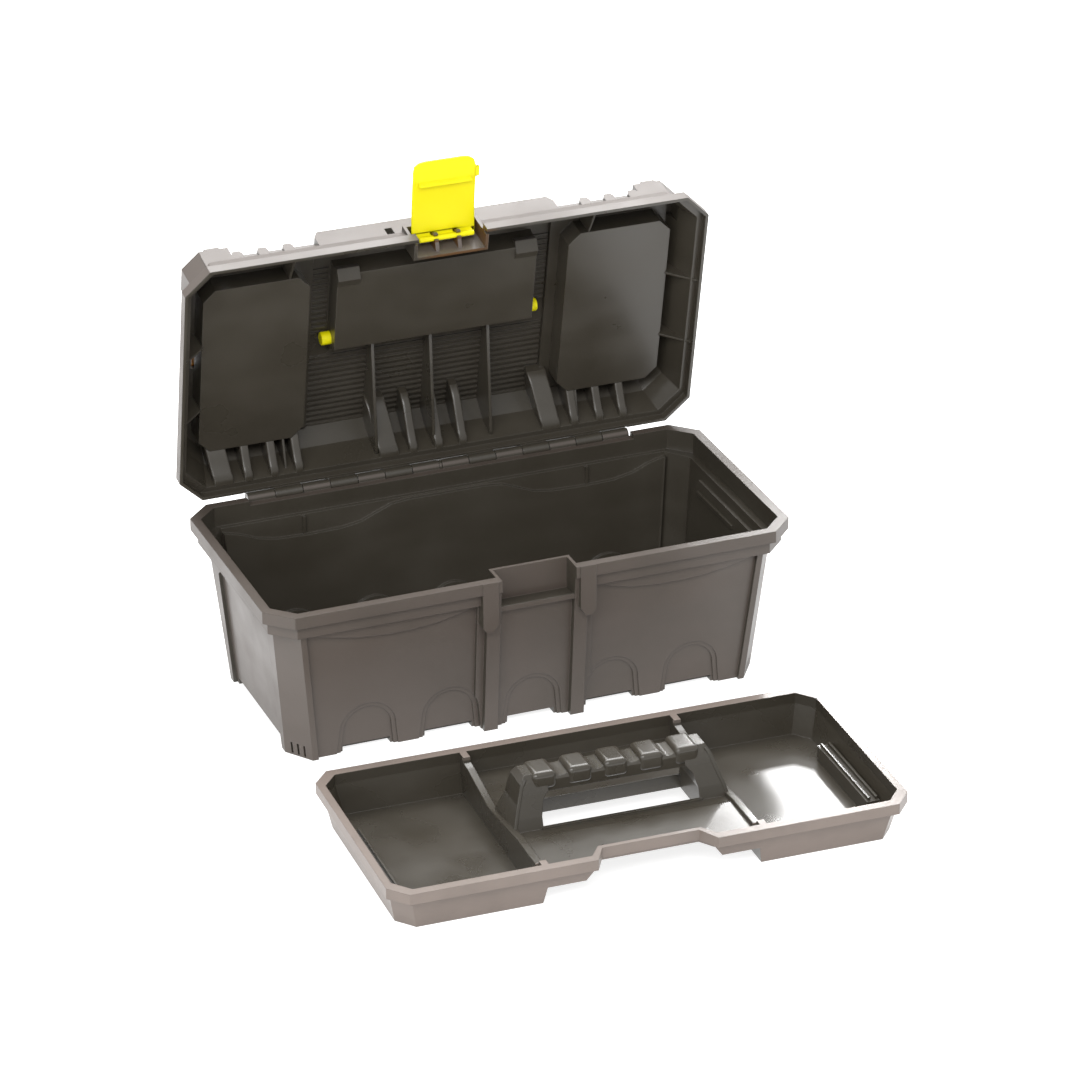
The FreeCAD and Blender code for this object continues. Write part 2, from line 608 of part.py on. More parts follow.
    # openings
    cuts = []
    for side in (-1, 1):
        cuts.append(prism_xy([(side * x, y) for x, y in well_outline(-WELL_T)], WELL_FLOOR_Z + WELL_T,
                             LID_TOP_Z + 2))
        pocket_z = LID_TOP_Z + COVER_LIFT - COVER_T
        a, b = sorted((side * (COVER_AXIS_X - COVER_T / 2 - COVER_GAP), side * (COVER_OUT_X + COVER_GAP)))
        cuts.append(box(a, b, COVER_FRONT_Y - COVER_GAP, COVER_BACK_Y + COVER_GAP, pocket_z, LID_TOP_Z + 2))
        axis_z = pocket_z + COVER_T / 2
        cuts.append(rod_y(COVER_T / 2 + COVER_GAP, COVER_FRONT_Y - COVER_GAP, COVER_BACK_Y + COVER_GAP,
                          side * COVER_AXIS_X, axis_z))
        cuts.append(rod_y(COVER_PIN_R + COVER_PIN_FIT, COVER_FRONT_Y - COVER_PIN_L - 0.5,
                          COVER_BACK_Y + COVER_PIN_L + 0.5, side * COVER_AXIS_X, axis_z))
        # finger slot and catch slot at the outer edge of the well
        a, b = sorted((side * 176.0, side * (COVER_OUT_X + 1.6)))
        cuts.append(box(a, b, -8.0, 8.0, LID_TOP_Z - 8.0, LID_TOP_Z + 2))
    t = RECESS_T
    inner_recess = [(RECESS_FRONT_Y + t, RECESS_FLOOR_Z + t), (RECESS_BACK_Y - 1.0, RECESS_FLOOR_Z + t),
                    (RECESS_BACK_Y + 10.2, LID_TOP_Z + 2.0), (RECESS_FRONT_Y - 2.2, LID_TOP_Z + 2.0)]
    cuts.append(prism_yz(inner_recess, -RECESS_HALF_X + t, RECESS_HALF_X - t))
    cuts.append(rod_x(GRIP_PIN_R + GRIP_PIN_FIT, -RECESS_HALF_X - 9.0, RECESS_HALF_X + 9.0, GRIP_PIVOT_Y,
                      GRIP_PIVOT_Z))
    cuts.append(box(-NOTCH_HALF, NOTCH_HALF, -130.0, NOTCH_BACK_Y, low - 5.0, NOTCH_TOP_Z))
    cuts.append(box(-40.0, -34.5, -96.0, -86.5, 150.5, 158.0))
    for side in (-1, 1):
        a, b = sorted((side * (HINGE_IN - 2), side * (HINGE_OUT + 1)))
        cuts.append(rod_x(KNUCKLE_R + KNUCKLE_GAP, a, b, HINGE_Y, HINGE_Z))
    lid = lid.cut(cuts)

    # clip hooks that carry the latch rod
    hooks = []
    for side in (-1, 1):
        a, b = sorted((side * (HOOK_X - HOOK_W / 2), side * (HOOK_X + HOOK_W / 2)))
        hook = join([rod_x(HOOK_R, a, b, ROD_Y, ROD_Z),
                     prism_yz([(ROD_Y, ROD_Z + HOOK_R), (NOTCH_BACK_Y + 0.5, ROD_Z + HOOK_R + 3.0),
                               (NOTCH_BACK_Y + 0.5, ROD_Z - HOOK_R - 3.0),
                               (ROD_Y + 1.0, ROD_Z - HOOK_R + 0.1)], a, b)])
        hook = hook.cut(rod_x(ROD_R + ROD_FIT, a - 1, b + 1, ROD_Y, ROD_Z))
        mouth = prism_yz([(ROD_Y - 0.4, ROD_Z), (ROD_Y - 8.0, ROD_Z - 4.2), (ROD_Y - 1.0, ROD_Z - 9.0)],
                         a - 1, b + 1)
        hooks.append(hook.cut(mouth))

    # hinge leaf
    leaf = []
    for a, b in hinge_cells(1):
        leaf.append(rod_x(KNUCKLE_R, a, b, HINGE_Y, HINGE_Z))
        leaf.append(prism_yz([(98.8, low), (HINGE_Y - 3.0, HINGE_Z + 1.0),
                              (HINGE_Y + KNUCKLE_R - 0.2, HINGE_Z + 1.0),
                              (HINGE_Y + 1.0, 131.5), (98.8, 131.5)], a, b))
    lid = join([lid] + hooks + leaf)
    cuts = []
    for side in (-1, 1):
        a, b = sorted((side * (HINGE_IN - 1), side * (HINGE_OUT + 1)))
        cuts.append(rod_x(HINGE_PIN_R + HINGE_FIT, a, b, HINGE_Y, HINGE_Z))
    return lid.cut(cuts).removeSplitter()


def make_cover(side):
    """One organiser cover, closed, with its two stub pins."""
    z1 = LID_TOP_Z + COVER_LIFT
    z0 = z1 - COVER_T
    axis_z = (z0 + z1) / 2
    plate = box(COVER_AXIS_X, COVER_OUT_X, COVER_FRONT_Y, COVER_BACK_Y, z0, z1)
    edge = rod_y(COVER_T / 2, COVER_FRONT_Y, COVER_BACK_Y, COVER_AXIS_X, axis_z)
    pins = rod_y(COVER_PIN_R, COVER_FRONT_Y - COVER_PIN_L, COVER_BACK_Y + COVER_PIN_L, COVER_AXIS_X, axis_z)
    tab = box(COVER_OUT_X - 3.0, COVER_OUT_X - 1.4, -6.0, 6.0, LID_TOP_Z - 7.0, z0 + 0.5)
    cover = join([plate, edge, pins, tab])
    if side < 0:
        cover = mirror_x(cover)
    return cover


def make_carry_handle():
    """U-shaped carry handle, folded into its recess."""
    arms = []
    y_end = RECESS_FRONT_Y + 5.0
    z0, z1 = GRIP_PIVOT_Z - 5.5, GRIP_PIVOT_Z + 5.5
    for side in (-1, 1):
        a, b = sorted((side * 61.0, side * (RECESS_HALF_X - RECESS_T - 1.0)))
        arms.append(rod_x(5.5, a, b, GRIP_PIVOT_Y, GRIP_PIVOT_Z))
        arms.append(box(a, b, y_end + 2.0, GRIP_PIVOT_Y, z0, z1))
        a, b = sorted((side * (RECESS_HALF_X - RECESS_T - 2.0), side * (RECESS_HALF_X + 7.0)))
        arms.append(rod_x(GRIP_PIN_R, a, b, GRIP_PIVOT_Y, GRIP_PIVOT_Z))
    half = RECESS_HALF_X - RECESS_T - 1.0
    grip = [(y_end, z0 + 3.0), (y_end + 3.0, z0), (y_end + 17.0, z0), (y_end + 20.0, z0 + 3.0),
            (y_end + 20.0, z1 - 3.0), (y_end + 17.0, z1), (y_end + 3.0, z1), (y_end, z1 - 3.0)]
    handle = join(arms + [prism_yz(grip, -half, half)])
    cuts = []
    for k in range(5):
        x = -44.0 + 22.0 * k
        cuts.append(Part.makeCylinder(13.0, 40.0, V(x, y_end + 31.0, z0 - 10.0), V(0, 0, 1)))
    return handle.cut(cuts).removeSplitter()


def make_latch():
    """Latch flap with its pivot rod, in its closed place."""
    y0, y1 = FLAP_OUT_Y, FLAP_OUT_Y + FLAP_T
    top = ROD_Z + 2.6
    span = top - FLAP_LOW_Z
    front, back = [], []
    for i in range(13):
        u = i / 12.0
        bow = FLAP_BOW * math.sin(math.pi * min(1.0, u * 1.15)) if u < 0.87 else 0.0
        tip = 2.2 * max(0.0, u - 0.8) / 0.2
        front.append((y0 - bow - tip, top - span * u))
        back.append((y1 - bow - tip, top - span * u))
    plan = [(-FLAP_HALF, top), (-FLAP_HALF, FLAP_LOW_Z + 8.0), (-FLAP_HALF + 1.2, FLAP_LOW_Z + 3.0),
            (-FLAP_HALF + 5.0, FLAP_LOW_Z + 0.6),
            (-FLAP_HALF + 10.0, FLAP_LOW_Z), (FLAP_HALF - 10.0, FLAP_LOW_Z),
            (FLAP_HALF - 5.0, FLAP_LOW_Z + 0.6),
            (FLAP_HALF - 1.2, FLAP_LOW_Z + 3.0), (FLAP_HALF, FLAP_LOW_Z + 8.0), (FLAP_HALF, top)]
    plate = prism_yz(front + list(reversed(back)), -FLAP_HALF, FLAP_HALF)
    parts = [plate.common(prism_xz(plan, y0 - 8.0, y1 + 4.0))]
    parts.append(rod_x(ROD_R, -ROD_HALF, ROD_HALF, ROD_Y, ROD_Z))
    for a, b in ((-ROD_HALF, -HOOK_X - HOOK_W / 2 - 0.4),
                 (-HOOK_X + HOOK_W / 2 + 0.4, HOOK_X - HOOK_W / 2 - 0.4),
                 (HOOK_X + HOOK_W / 2 + 0.4, ROD_HALF)):
        parts.append(prism_yz([(y1 - 0.5, ROD_Z - 1.6), (ROD_Y, ROD_Z - 1.6), (ROD_Y, ROD_Z + 1.6),
                               (y1 - 0.5, ROD_Z + 1.6)], a, b))
    ridge = [(y1 - 2.2, 93.0), (LIP_FRONT_Y + 1.8, 95.4), (LIP_FRONT_Y + 1.8, LEDGE_Z - LEDGE_T - 0.5),
             (y1 - 2.2, LEDGE_Z - LEDGE_T - 0.5)]
    parts.append(prism_yz(ridge, -FLAP_HALF + 4.0, FLAP_HALF - 4.0))
    flap = join(parts)
    # pull tab on one edge
    tab = box(FLAP_HALF - 1.0, FLAP_HALF + 2.4, y0, y1, FLAP_LOW_Z + 8.0, FLAP_LOW_Z + 16.0)
    return join([flap, tab])


# ------------------------------------------------------------------- tray
def tray_outline(hx, hy, cx, cy, set_y, set_x, z):
    """Tray plan with the front set back at the centre."""
    s = 8.0
    return [
        V(-hx + cx, -hy, z), V(-set_x - s, -hy, z), V(-set_x, set_y, z),
        V(set_x, set_y, z), V(set_x + s, -hy, z),
        V(hx - cx, -hy, z), V(hx, -hy + cy, z), V(hx, hy - cy, z), V(hx - cx, hy, z), V(-hx + cx, hy, z),
        V(-hx, hy - cy, z), V(-hx, -hy + cy, z),
    ]


def make_tray():
    """Lift-out tray with two deep ends, a raised middle and a handle."""
    band_z = TRAY_H - TRAY_BAND
    wall_x = TRAY_HALF_X - 3.5
    wall_y = TRAY_HALF_Y - 5.0
    rim = stack([
        tray_outline(TRAY_HALF_X, TRAY_HALF_Y, TRAY_CHAMFER_X, TRAY_CHAMFER_Y, TRAY_SET_BACK_Y,
                     TRAY_SET_BACK_X, band_z),
        tray_outline(TRAY_HALF_X, TRAY_HALF_Y, TRAY_CHAMFER_X, TRAY_CHAMFER_Y, TRAY_SET_BACK_Y,
                     TRAY_SET_BACK_X, TRAY_H),
    ])
    set_low = TRAY_SET_BACK_Y + 1.5
    low = stack([
        tray_outline(TRAY_FOOT_X, TRAY_FOOT_Y, 11.0, 13.0, set_low, TRAY_SET_BACK_X, 0.0),
        tray_outline(wall_x, wall_y, 11.5, 13.5, set_low, TRAY_SET_BACK_X, band_z + 0.5),
    ])
    body = join([rim, low])
    # underside of the raised middle
    x_step = 46.0
    mid = [(-TRAY_DIV_X, -1.0), (-TRAY_DIV_X + 2.5, TRAY_MID_Z), (-x_step - 3.0, TRAY_MID_Z),
           (-x_step + 3.0, TRAY_MID_FRONT_Z),
           (x_step - 3.0, TRAY_MID_FRONT_Z), (x_step + 3.0, TRAY_MID_Z),
           (TRAY_DIV_X - 2.5, TRAY_MID_Z), (TRAY_DIV_X, -1.0)]
    shallow = [(-TRAY_DIV_X, -1.0), (-TRAY_DIV_X + 2.5, TRAY_MID_Z), (TRAY_DIV_X - 2.5, TRAY_MID_Z),
               (TRAY_DIV_X, -1.0)]
    y_mid = -30.0
    body = body.cut([prism_xz(mid, -110.0, y_mid), prism_xz(shallow, y_mid - 0.5, 110.0)])

    # inside of the two deep ends
    t = TRAY_T
    top = [
        tray_outline(wall_x - t, wall_y - t, 10.7, 12.7, set_low + t, TRAY_SET_BACK_X + t, TRAY_H + 1.0),
        tray_outline(wall_x - t, wall_y - t, 10.7, 12.7, set_low + t, TRAY_SET_BACK_X + t, band_z),
        tray_outline(TRAY_FOOT_X - t, TRAY_FOOT_Y - t, 10.2, 12.2, set_low + t, TRAY_SET_BACK_X + t, t),
    ]
    inside = stack(list(reversed(top)))
    deep = []
    x_in = TRAY_DIV_X + t
    for side in (-1, 1):
        a, b = sorted((side * x_in, side * 220.0))
        deep.append(inside.common(box(a, b, -110.0, 110.0, 0.0, TRAY_H + 2)))
    # inside of the middle: a floor that climbs to the front
    x_mid = TRAY_DIV_X - 2.5 - 0.6
    ramp = [(TRAY_FOOT_Y + 10.0, TRAY_MID_Z + t), (60.0, TRAY_MID_Z + t), (y_mid, TRAY_MID_FRONT_Z + t - 1.0),
            (y_mid - 4.0, TRAY_MID_FRONT_Z + t), (-110.0, TRAY_MID_FRONT_Z + t),
            (-110.0, TRAY_H + 2), (TRAY_FOOT_Y + 10.0, TRAY_H + 2)]
    middle = inside.common(prism_yz(ramp, -x_mid, x_mid))
    body = body.cut(deep + [middle])
    # low divider walls: the part that rises above the raised floor is cut down
    cut_low = []
    for side in (-1, 1):
        a, b = sorted((side * (x_mid - 0.5), side * (x_in + 0.5)))
        cut_low.append(prism_yz([(76.0, TRAY_H + 2), (74.0, 26.5), (66.0, 26.0), (24.0, 18.5),
                                 (-6.0, 21.5), (-34.0, 24.6),
                                 (-78.0, 25.0), (-78.0, TRAY_H + 2)], a, b))
    body = body.cut(cut_low)

    # handle: flared posts and a grip, hollow below
    posts = []
    for side in (-1, 1):
        pts = [(57.0, TRAY_MID_Z + 3.0), (79.0, TRAY_MID_Z + 3.0), (77.5, 24.0), (72.0, 36.0),
               (69.5, TRAY_GRIP_Z - 5.0),
               (66.0, TRAY_GRIP_Z), (50.0, TRAY_GRIP_Z), (50.0, TRAY_GRIP_Z - 12.0),
               (54.5, 40.0), (57.0, 30.0)]
        flare = prism_yz([(-24.0, TRAY_MID_Z + 3.0), (-19.0, 30.0), (-12.5, 44.0), (-10.0, TRAY_GRIP_Z - 5.0),
                          (-7.0, TRAY_GRIP_Z), (8.0, TRAY_GRIP_Z), (11.0, TRAY_GRIP_Z - 5.0), (13.0, 44.0),
                          (16.0, 30.0), (19.0, TRAY_MID_Z + 3.0)], -90.0, 90.0)
        wide = prism_xz([(side * x, z) for x, z in pts], -26.0, 24.0)
        posts.append(wide.common(flare))
    grip = [(-9.0, TRAY_GRIP_Z - 14.0), (-10.0, TRAY_GRIP_Z - 5.0), (-7.0, TRAY_GRIP_Z), (8.0, TRAY_GRIP_Z),
            (11.0, TRAY_GRIP_Z - 5.0), (10.0, TRAY_GRIP_Z - 14.0)]
    bar = prism_yz(grip, -64.0, 64.0)
    grooves = []
    for k in range(4):
        x = -39.0 + 26.0 * k
        grooves.append(Part.makeCylinder(9.0, 40.0, V(x, -20.0, TRAY_GRIP_Z + 5.6), V(0, 1, 0)))
    bar = bar.cut(grooves)
    hollow = [prism_yz([(-8.0, TRAY_GRIP_Z - 14.0), (-8.0, TRAY_GRIP_Z - 5.6), (8.0, TRAY_GRIP_Z - 5.6),
                        (8.0, TRAY_GRIP_Z - 14.0)],
                       -58.0, 58.0)]
    for side in (-1, 1):
        pts = [(60.0, -5.0), (76.0, -5.0), (75.0, 24.0), (69.5, 36.0), (66.5, TRAY_GRIP_Z - 5.6),
               (54.0, TRAY_GRIP_Z - 5.6),
               (57.5, 40.0), (60.0, 30.0)]
        hollow.append(prism_xz([(side * x, z) for x, z in pts], -8.0, 9.0))
    body = join([body] + posts + [bar])
    body = body.cut(hollow)
    # through hole under the grip, with a low lip round it
    x, y0, y1 = TRAY_HOLE_X, TRAY_HOLE_FRONT_Y, TRAY_HOLE_BACK_Y
    body = join([body, box(-x - 1.5, x + 1.5, y0 - 2.5, y1 + 1.5, TRAY_MID_Z, TRAY_MID_Z + 10.5)])
    body = body.cut([box(-x, x, y0, y1, -5.0, TRAY_MID_Z + 12.0)])

    # raised frames on the inside of the end walls
    frames = []
    for side in (-1, 1):
        a, b = sorted((side * 169.0, side * (TRAY_FOOT_X - 1.0)))
        frames.append(box(a, b, -52.0, 36.0, 1.0, 14.0))
        for x in (170.5, 176.0):
            a, b = sorted((side * x, side * (x + 1.8)))
            frames.append(box(a, b, -50.0, 34.0, 13.0, 16.2))
    body = join([body] + frames)
    under = []
    for side in (-1, 1):
        a, b = sorted((side * 171.0, side * 177.0))
        under.append(box(a, b, -50.0, 34.0, -1.0, 12.0))
    return body.cut(under).removeSplitter()


def placed_tray(shape):
    """Tray set down on the floor in front of the base."""
    out = shape.copy()
    out.rotate(V(0, 0, 0), V(0, 0, 1), TRAY_TURN_DEG)
    out.translate(V(TRAY_X, TRAY_Y, 0))
    return out


def open_latch(shape):
    """Turn the latch about its rod to its open place on the closed lid."""
    out = shape.copy()
    out.rotate(V(0, ROD_Y, ROD_Z), V(1, 0, 0), -LATCH_OPEN_DEG)
    return out


def main():
    """Build and write every node."""
    os.makedirs("parts", exist_ok=True)
    save(make_base(), "base_tub")
    save(make_hinge_pin(-1), "hinge_pin_left")
    save(make_hinge_pin(1), "hinge_pin_right")
    save(opened(make_lid()), "lid_shell")
    save(opened(make_cover(-1)), "organiser_cover_left")
    save(opened(make_cover(1)), "organiser_cover_right")
    save(opened(make_carry_handle()), "carry_handle")
    save(opened(open_latch(make_latch())), "latch_flap")
    save(placed_tray(make_tray()), "lift_out_tray")


main()
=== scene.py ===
"""Moulded toolbox, lid open, tray lifted out in front of it, in plain soft studio light."""
import json
import logging
import math
from dataclasses import dataclass
from enum import Enum
from typing import Callable, Iterable, Sequence

import bmesh
import bpy
from mathutils import Euler, Matrix, Vector
from mathutils.bvhtree import BVHTree


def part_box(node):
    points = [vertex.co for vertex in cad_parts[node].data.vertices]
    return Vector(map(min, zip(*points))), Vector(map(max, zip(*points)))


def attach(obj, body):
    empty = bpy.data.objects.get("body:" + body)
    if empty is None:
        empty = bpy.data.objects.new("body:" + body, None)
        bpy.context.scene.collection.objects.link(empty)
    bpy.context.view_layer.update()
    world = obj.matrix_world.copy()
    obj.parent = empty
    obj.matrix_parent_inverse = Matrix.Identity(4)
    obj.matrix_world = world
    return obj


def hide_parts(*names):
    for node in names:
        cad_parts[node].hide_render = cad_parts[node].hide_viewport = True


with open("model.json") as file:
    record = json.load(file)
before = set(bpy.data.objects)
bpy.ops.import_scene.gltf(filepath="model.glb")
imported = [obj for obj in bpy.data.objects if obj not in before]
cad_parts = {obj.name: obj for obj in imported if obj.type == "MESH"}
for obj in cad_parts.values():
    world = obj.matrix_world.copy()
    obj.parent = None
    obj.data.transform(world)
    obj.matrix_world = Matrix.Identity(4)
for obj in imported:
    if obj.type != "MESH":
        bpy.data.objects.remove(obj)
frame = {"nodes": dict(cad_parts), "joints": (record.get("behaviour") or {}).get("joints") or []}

logging.basicConfig(level=logging.INFO, format="%(name)s: %(message)s")
LOG = logging.getLogger("toolbox")

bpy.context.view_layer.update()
MM = 0.001

Colour = tuple[float, float, float]
Point = tuple[float, float, float]
Range = tuple[float, float]

# ----------------------------------------------------------------- working tolerances
WELD = 2e-5                        # vertices nearer than this are one vertex
FLAT_ANGLE = math.radians(0.6)     # faces closer to one plane than this are merged
SMOOTH_ANGLE = math.radians(32.0)  # edges gentler than this are shaded smooth
COPY_EDGE = 24.0                   # degrees: a CAD copy's edges sharper than this are rounded
SOLID_EDGE = 30.0                  # degrees: the same for a solid drawn from a primitive
STRIP_EDGE = 50.0                  # degrees: the same for a strip, whose bends stay unrounded
STRAY = 0.8                        # share of a rounding's width that a corner may stray
LARGE_FACES = 80                   # how strongly large faces pull the shading to themselves
ALIGNED = 0.9                      # a face whose normal reaches this along an axis faces it

# ----------------------------------------------------------------- colours
INSIDE = (0.036, 0.031, 0.023)
INSIDE_WORN = (0.052, 0.045, 0.034)
# Outer-wall colours: partly a real matt texture, partly painted light; the lid's and tray's are set
# lighter to stand in for the light on their outer walls
BASE_OUTSIDE = (0.068, 0.053, 0.043)
LID_OUTSIDE_PAINTED_LIGHT = (0.090, 0.074, 0.064)
TRAY_OUTSIDE_PAINTED_LIGHT = (0.155, 0.122, 0.103)
# Painted amber glow around the latch hooks, standing in for light that comes through the yellow
# latch
AMBER_GLOW_PAINT = (0.10, 0.045, 0.012)
YELLOW = (0.68, 0.615, 0.002)
YELLOW_WORN = (0.74, 0.69, 0.01)
AMBER = (0.30, 0.115, 0.012)
AMBER_WORN = (0.36, 0.15, 0.02)
WIRE_DARK = (0.46, 0.45, 0.44)
WIRE_BRIGHT = (0.66, 0.65, 0.63)
WHITE = (1.0, 1.0, 1.0)

# ----------------------------------------------------------------- where the tray lies
TRAY_CENTRE = (-7.9, -249.7, 0.0)    # millimetres
TRAY_TURNED = math.radians(-1.7)
# Centre of the painted amber glow on the lid, measured from the latch flap
HOOKS_FROM_FLAP = (4.0, -2.0, 4.0)   # from the middle of the flap's lowest front edge


class Slot(Enum):
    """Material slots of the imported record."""

    BODY = "body_plastic"
    TRAY = "tray_plastic"
    ACCENT = "accent_plastic"
    COVER = "cover_plastic"


class Part(Enum):
    """Bodies that the pieces ride on."""

    BASE = "base"
    LID = "lid"
    LATCH = "latch"
    HANDLE = "carry_handle"
    COVER_LEFT = "cover_left"
    COVER_RIGHT = "cover_right"
    TRAY = "tray"


# ----------------------------------------------------------------- node wiring
@dataclass(frozen=True)
class Noise:
    """Settings of one fractal noise.

    Attributes:
        scale: Repeats in a metre.
        detail: Octaves.
        roughness: How strong the fine octaves are.
        distortion: How much it is pulled about.
    """

    scale: float
    detail: float
    roughness: float
    distortion: float = 0.0


class Wiring:
    """Short calls for adding and joining a material's nodes."""

    def __init__(self, name: str) -> None:
        """Start a material, and keep its tree and its main shader.

        Args:
            name: The material's name.
        """
        self.material = bpy.data.materials.new(name)
        self.material.use_nodes = True
        self.tree = self.material.node_tree
        self.shader = self.tree.nodes["Principled BSDF"]

    def add(self, kind: str) -> bpy.types.Node:
        """Add one node of that kind."""
        return self.tree.nodes.new(kind)

    def join(self, source: object, target: bpy.types.NodeSocket) -> None:
        """Link a socket, or set a constant, on the target socket."""
        if isinstance(source, bpy.types.NodeSocket):
            self.tree.links.new(source, target)
        elif isinstance(source, tuple):
            target.default_value = (*source, 1.0) if len(source) == 3 else source
        else:
            target.default_value = source

    def set(self, **constants: object) -> None:
        """Set constants on the shader, with _ for the spaces of a socket's name."""
        for key, value in constants.items():
            self.shader.inputs[key.replace("_", " ")].default_value = value

    def noise(self, coord: bpy.types.NodeSocket, kind: Noise) -> bpy.types.NodeSocket:
        """Fractal noise value at a coordinate."""
        node = self.add("ShaderNodeTexNoise")
        node.inputs["Scale"].default_value = kind.scale
        node.inputs["Detail"].default_value = kind.detail
        node.inputs["Roughness"].default_value = kind.roughness
        node.inputs["Distortion"].default_value = kind.distortion
        self.join(coord, node.inputs["Vector"])
        return node.outputs["Fac"]

    def stretched(self, coord: bpy.types.NodeSocket, scale: Point) -> bpy.types.NodeSocket:
        """The coordinate, scaled along each axis."""
        node = self.add("ShaderNodeMapping")
        node.inputs["Scale"].default_value = scale
        self.join(coord, node.inputs["Vector"])
        return node.outputs["Vector"]

    def split(self, vector: bpy.types.NodeSocket) -> bpy.types.bpy_prop_collection:
        """The X, Y and Z sockets of a vector."""
        node = self.add("ShaderNodeSeparateXYZ")
        self.join(vector, node.inputs[0])
        return node.outputs

    def span(self, value: object, source: Range, target: Range = (0.0, 1.0)) -> bpy.types.NodeSocket:
        """Map a value from one range to another, held at its ends."""
        node = self.add("ShaderNodeMapRange")
        node.inputs["From Min"].default_value, node.inputs["From Max"].default_value = source
        node.inputs["To Min"].default_value, node.inputs["To Max"].default_value = target
        self.join(value, node.inputs["Value"])
        return node.outputs["Result"]

    def maths(self, how: str, first: object, second: object = 0.0) -> bpy.types.NodeSocket:
        """One arithmetic step."""
        node = self.add("ShaderNodeMath")
        node.operation = how
        self.join(first, node.inputs[0])
        self.join(second, node.inputs[1])
        return node.outputs["Value"]

    def mix_colour(self, first: object, second: object, share: object) -> bpy.types.NodeSocket:
        """Blend two colours by a share."""
        node = self.add("ShaderNodeMix")
        node.data_type = "RGBA"
        self.join(share, node.inputs[0])
        self.join(first, node.inputs[6])
        self.join(second, node.inputs[7])
        return node.outputs[2]

    def soft_edges(self, radius: float) -> bpy.types.NodeSocket:
        """Normals that roll over the moulding's edges within a radius."""
        node = self.add("ShaderNodeBevel")
        node.samples = 4
        node.inputs["Radius"].default_value = radius
        return node.outputs["Normal"]

    def bump(self, height: bpy.types.NodeSocket, strength: float, distance: float,
             after: bpy.types.NodeSocket | None = None) -> bpy.types.NodeSocket:
        """Relief from a height value, added to an earlier one."""
        node = self.add("ShaderNodeBump")
        node.inputs["Strength"].default_value = strength
        node.inputs["Distance"].default_value = distance
        self.join(height, node.inputs["Height"])
        if after is not None:
            self.join(after, node.inputs["Normal"])
        return node.outputs["Normal"]


# ----------------------------------------------------------------- finishes
@dataclass(frozen=True)
class SparkTextureAndPaintedLight:
    """Matt texture of a moulding's outer walls, told from the polished inside, in a paler colour
    that is partly painted light.

    Attributes:
        colour: Its colour; on the lid and tray it is set lighter to stand in for the light on their
            outer walls.
        reach: Half length and half depth beyond which a wall may be an outer one.
        roughness: Its roughness.
        within: Half depth of the moulding without its hinge knuckles.
        top: Height above which a face that looks up is an outer one; on base and tray this pales the
            rim tops as a painted highlight.
        rim_only: Whether such a face also has to lie beyond the reach.
        centre: Middle of the moulding in its own level frame.
        turn: Turn from the shared frame to the level frame, in radians about X, Y and Z.
        pivot: Point that the turn is about.
        facing: How far a face has to look outwards, from not at all to fully.
        blotches: Noise of the darker patches.
        blotch_range: Noise values between which a patch sets in.
        blotch_share: How much of the inside's colour a patch has.
    """

    colour: Colour
    reach: tuple[float, float]
    roughness: float = 0.4
    within: float = 0.0997
    top: float = 10.0
    rim_only: bool = True
    centre: Point = (0.0, 0.0, 0.0)
    turn: Point = (0.0, 0.0, 0.0)
    pivot: Point = (0.0, 0.0, 0.0)
    facing: Range = (0.15, 0.45)
    blotches: Noise = Noise(9.0, 4.0, 0.6, distortion=0.3)
    blotch_range: Range = (0.45, 0.85)
    blotch_share: float = 0.55

    def share(self, net: Wiring, place: bpy.types.Node) -> bpy.types.NodeSocket:
        """Mask that is 1 on the outer walls and rim tops, where the paler colour and its painted
        light go, and 0 inside.

        Args:
            net: The material's wiring.
            place: Its texture coordinate node.

        Returns:
            The mask socket.
        """
        at = net.split(self.levelled(net, place.outputs["Object"]))
        looks = net.split(self.levelled(net, place.outputs["Normal"], direction=True))
        walls, beyond = [], []
        for axis, reach in zip("XY", self.reach):
            far = net.maths("GREATER_THAN", net.maths("ABSOLUTE", at[axis]), reach)
            side = net.maths("SIGN", at[axis])
            outward = net.span(net.maths("MULTIPLY", looks[axis], side), self.facing)
            walls.append(net.maths("MULTIPLY", far, outward))
            beyond.append(far)
        above = net.maths("GREATER_THAN", at["Z"], self.top)
        if self.rim_only:
            above = net.maths("MULTIPLY", above, net.maths("MAXIMUM", *beyond))
        above = net.maths("MULTIPLY", above, net.span(looks["Z"], self.facing))
        outer = net.maths("MAXIMUM", net.maths("MAXIMUM", *walls), above)
        clear = net.maths("LESS_THAN", net.maths("ABSOLUTE", at["Y"]), self.within)
        return net.maths("MULTIPLY", outer, clear)

    def levelled(self, net: Wiring, vector: bpy.types.NodeSocket,
                 direction: bool = False) -> bpy.types.NodeSocket:
        """A place or a direction in the moulding's own level frame.

        Args:
            net: The material's wiring.
            vector: The place or direction in the shared frame.
            direction: Whether it is a direction, which is turned and not moved.

        Returns:
            The turned vector.
        """
        node = net.add("ShaderNodeMapping")
        node.inputs["Rotation"].default_value = self.turn
        if direction:
            node.vector_type = "VECTOR"
        else:
            pivot = Vector(self.pivot)
            moved = pivot - Euler(self.turn).to_matrix() @ pivot - Vector(self.centre)
            node.inputs["Location"].default_value = moved
        net.join(vector, node.inputs["Vector"])
        return node.outputs["Vector"]

    def tone(self, net: Wiring, coord: bpy.types.NodeSocket, inside: Colour) -> bpy.types.NodeSocket:
        """The texture's colour, with patches nearer to the inside's colour."""
        patch = net.span(net.noise(coord, self.blotches), self.blotch_range,
                         (0.0, self.blotch_share))
        return net.mix_colour(self.colour, inside, patch)


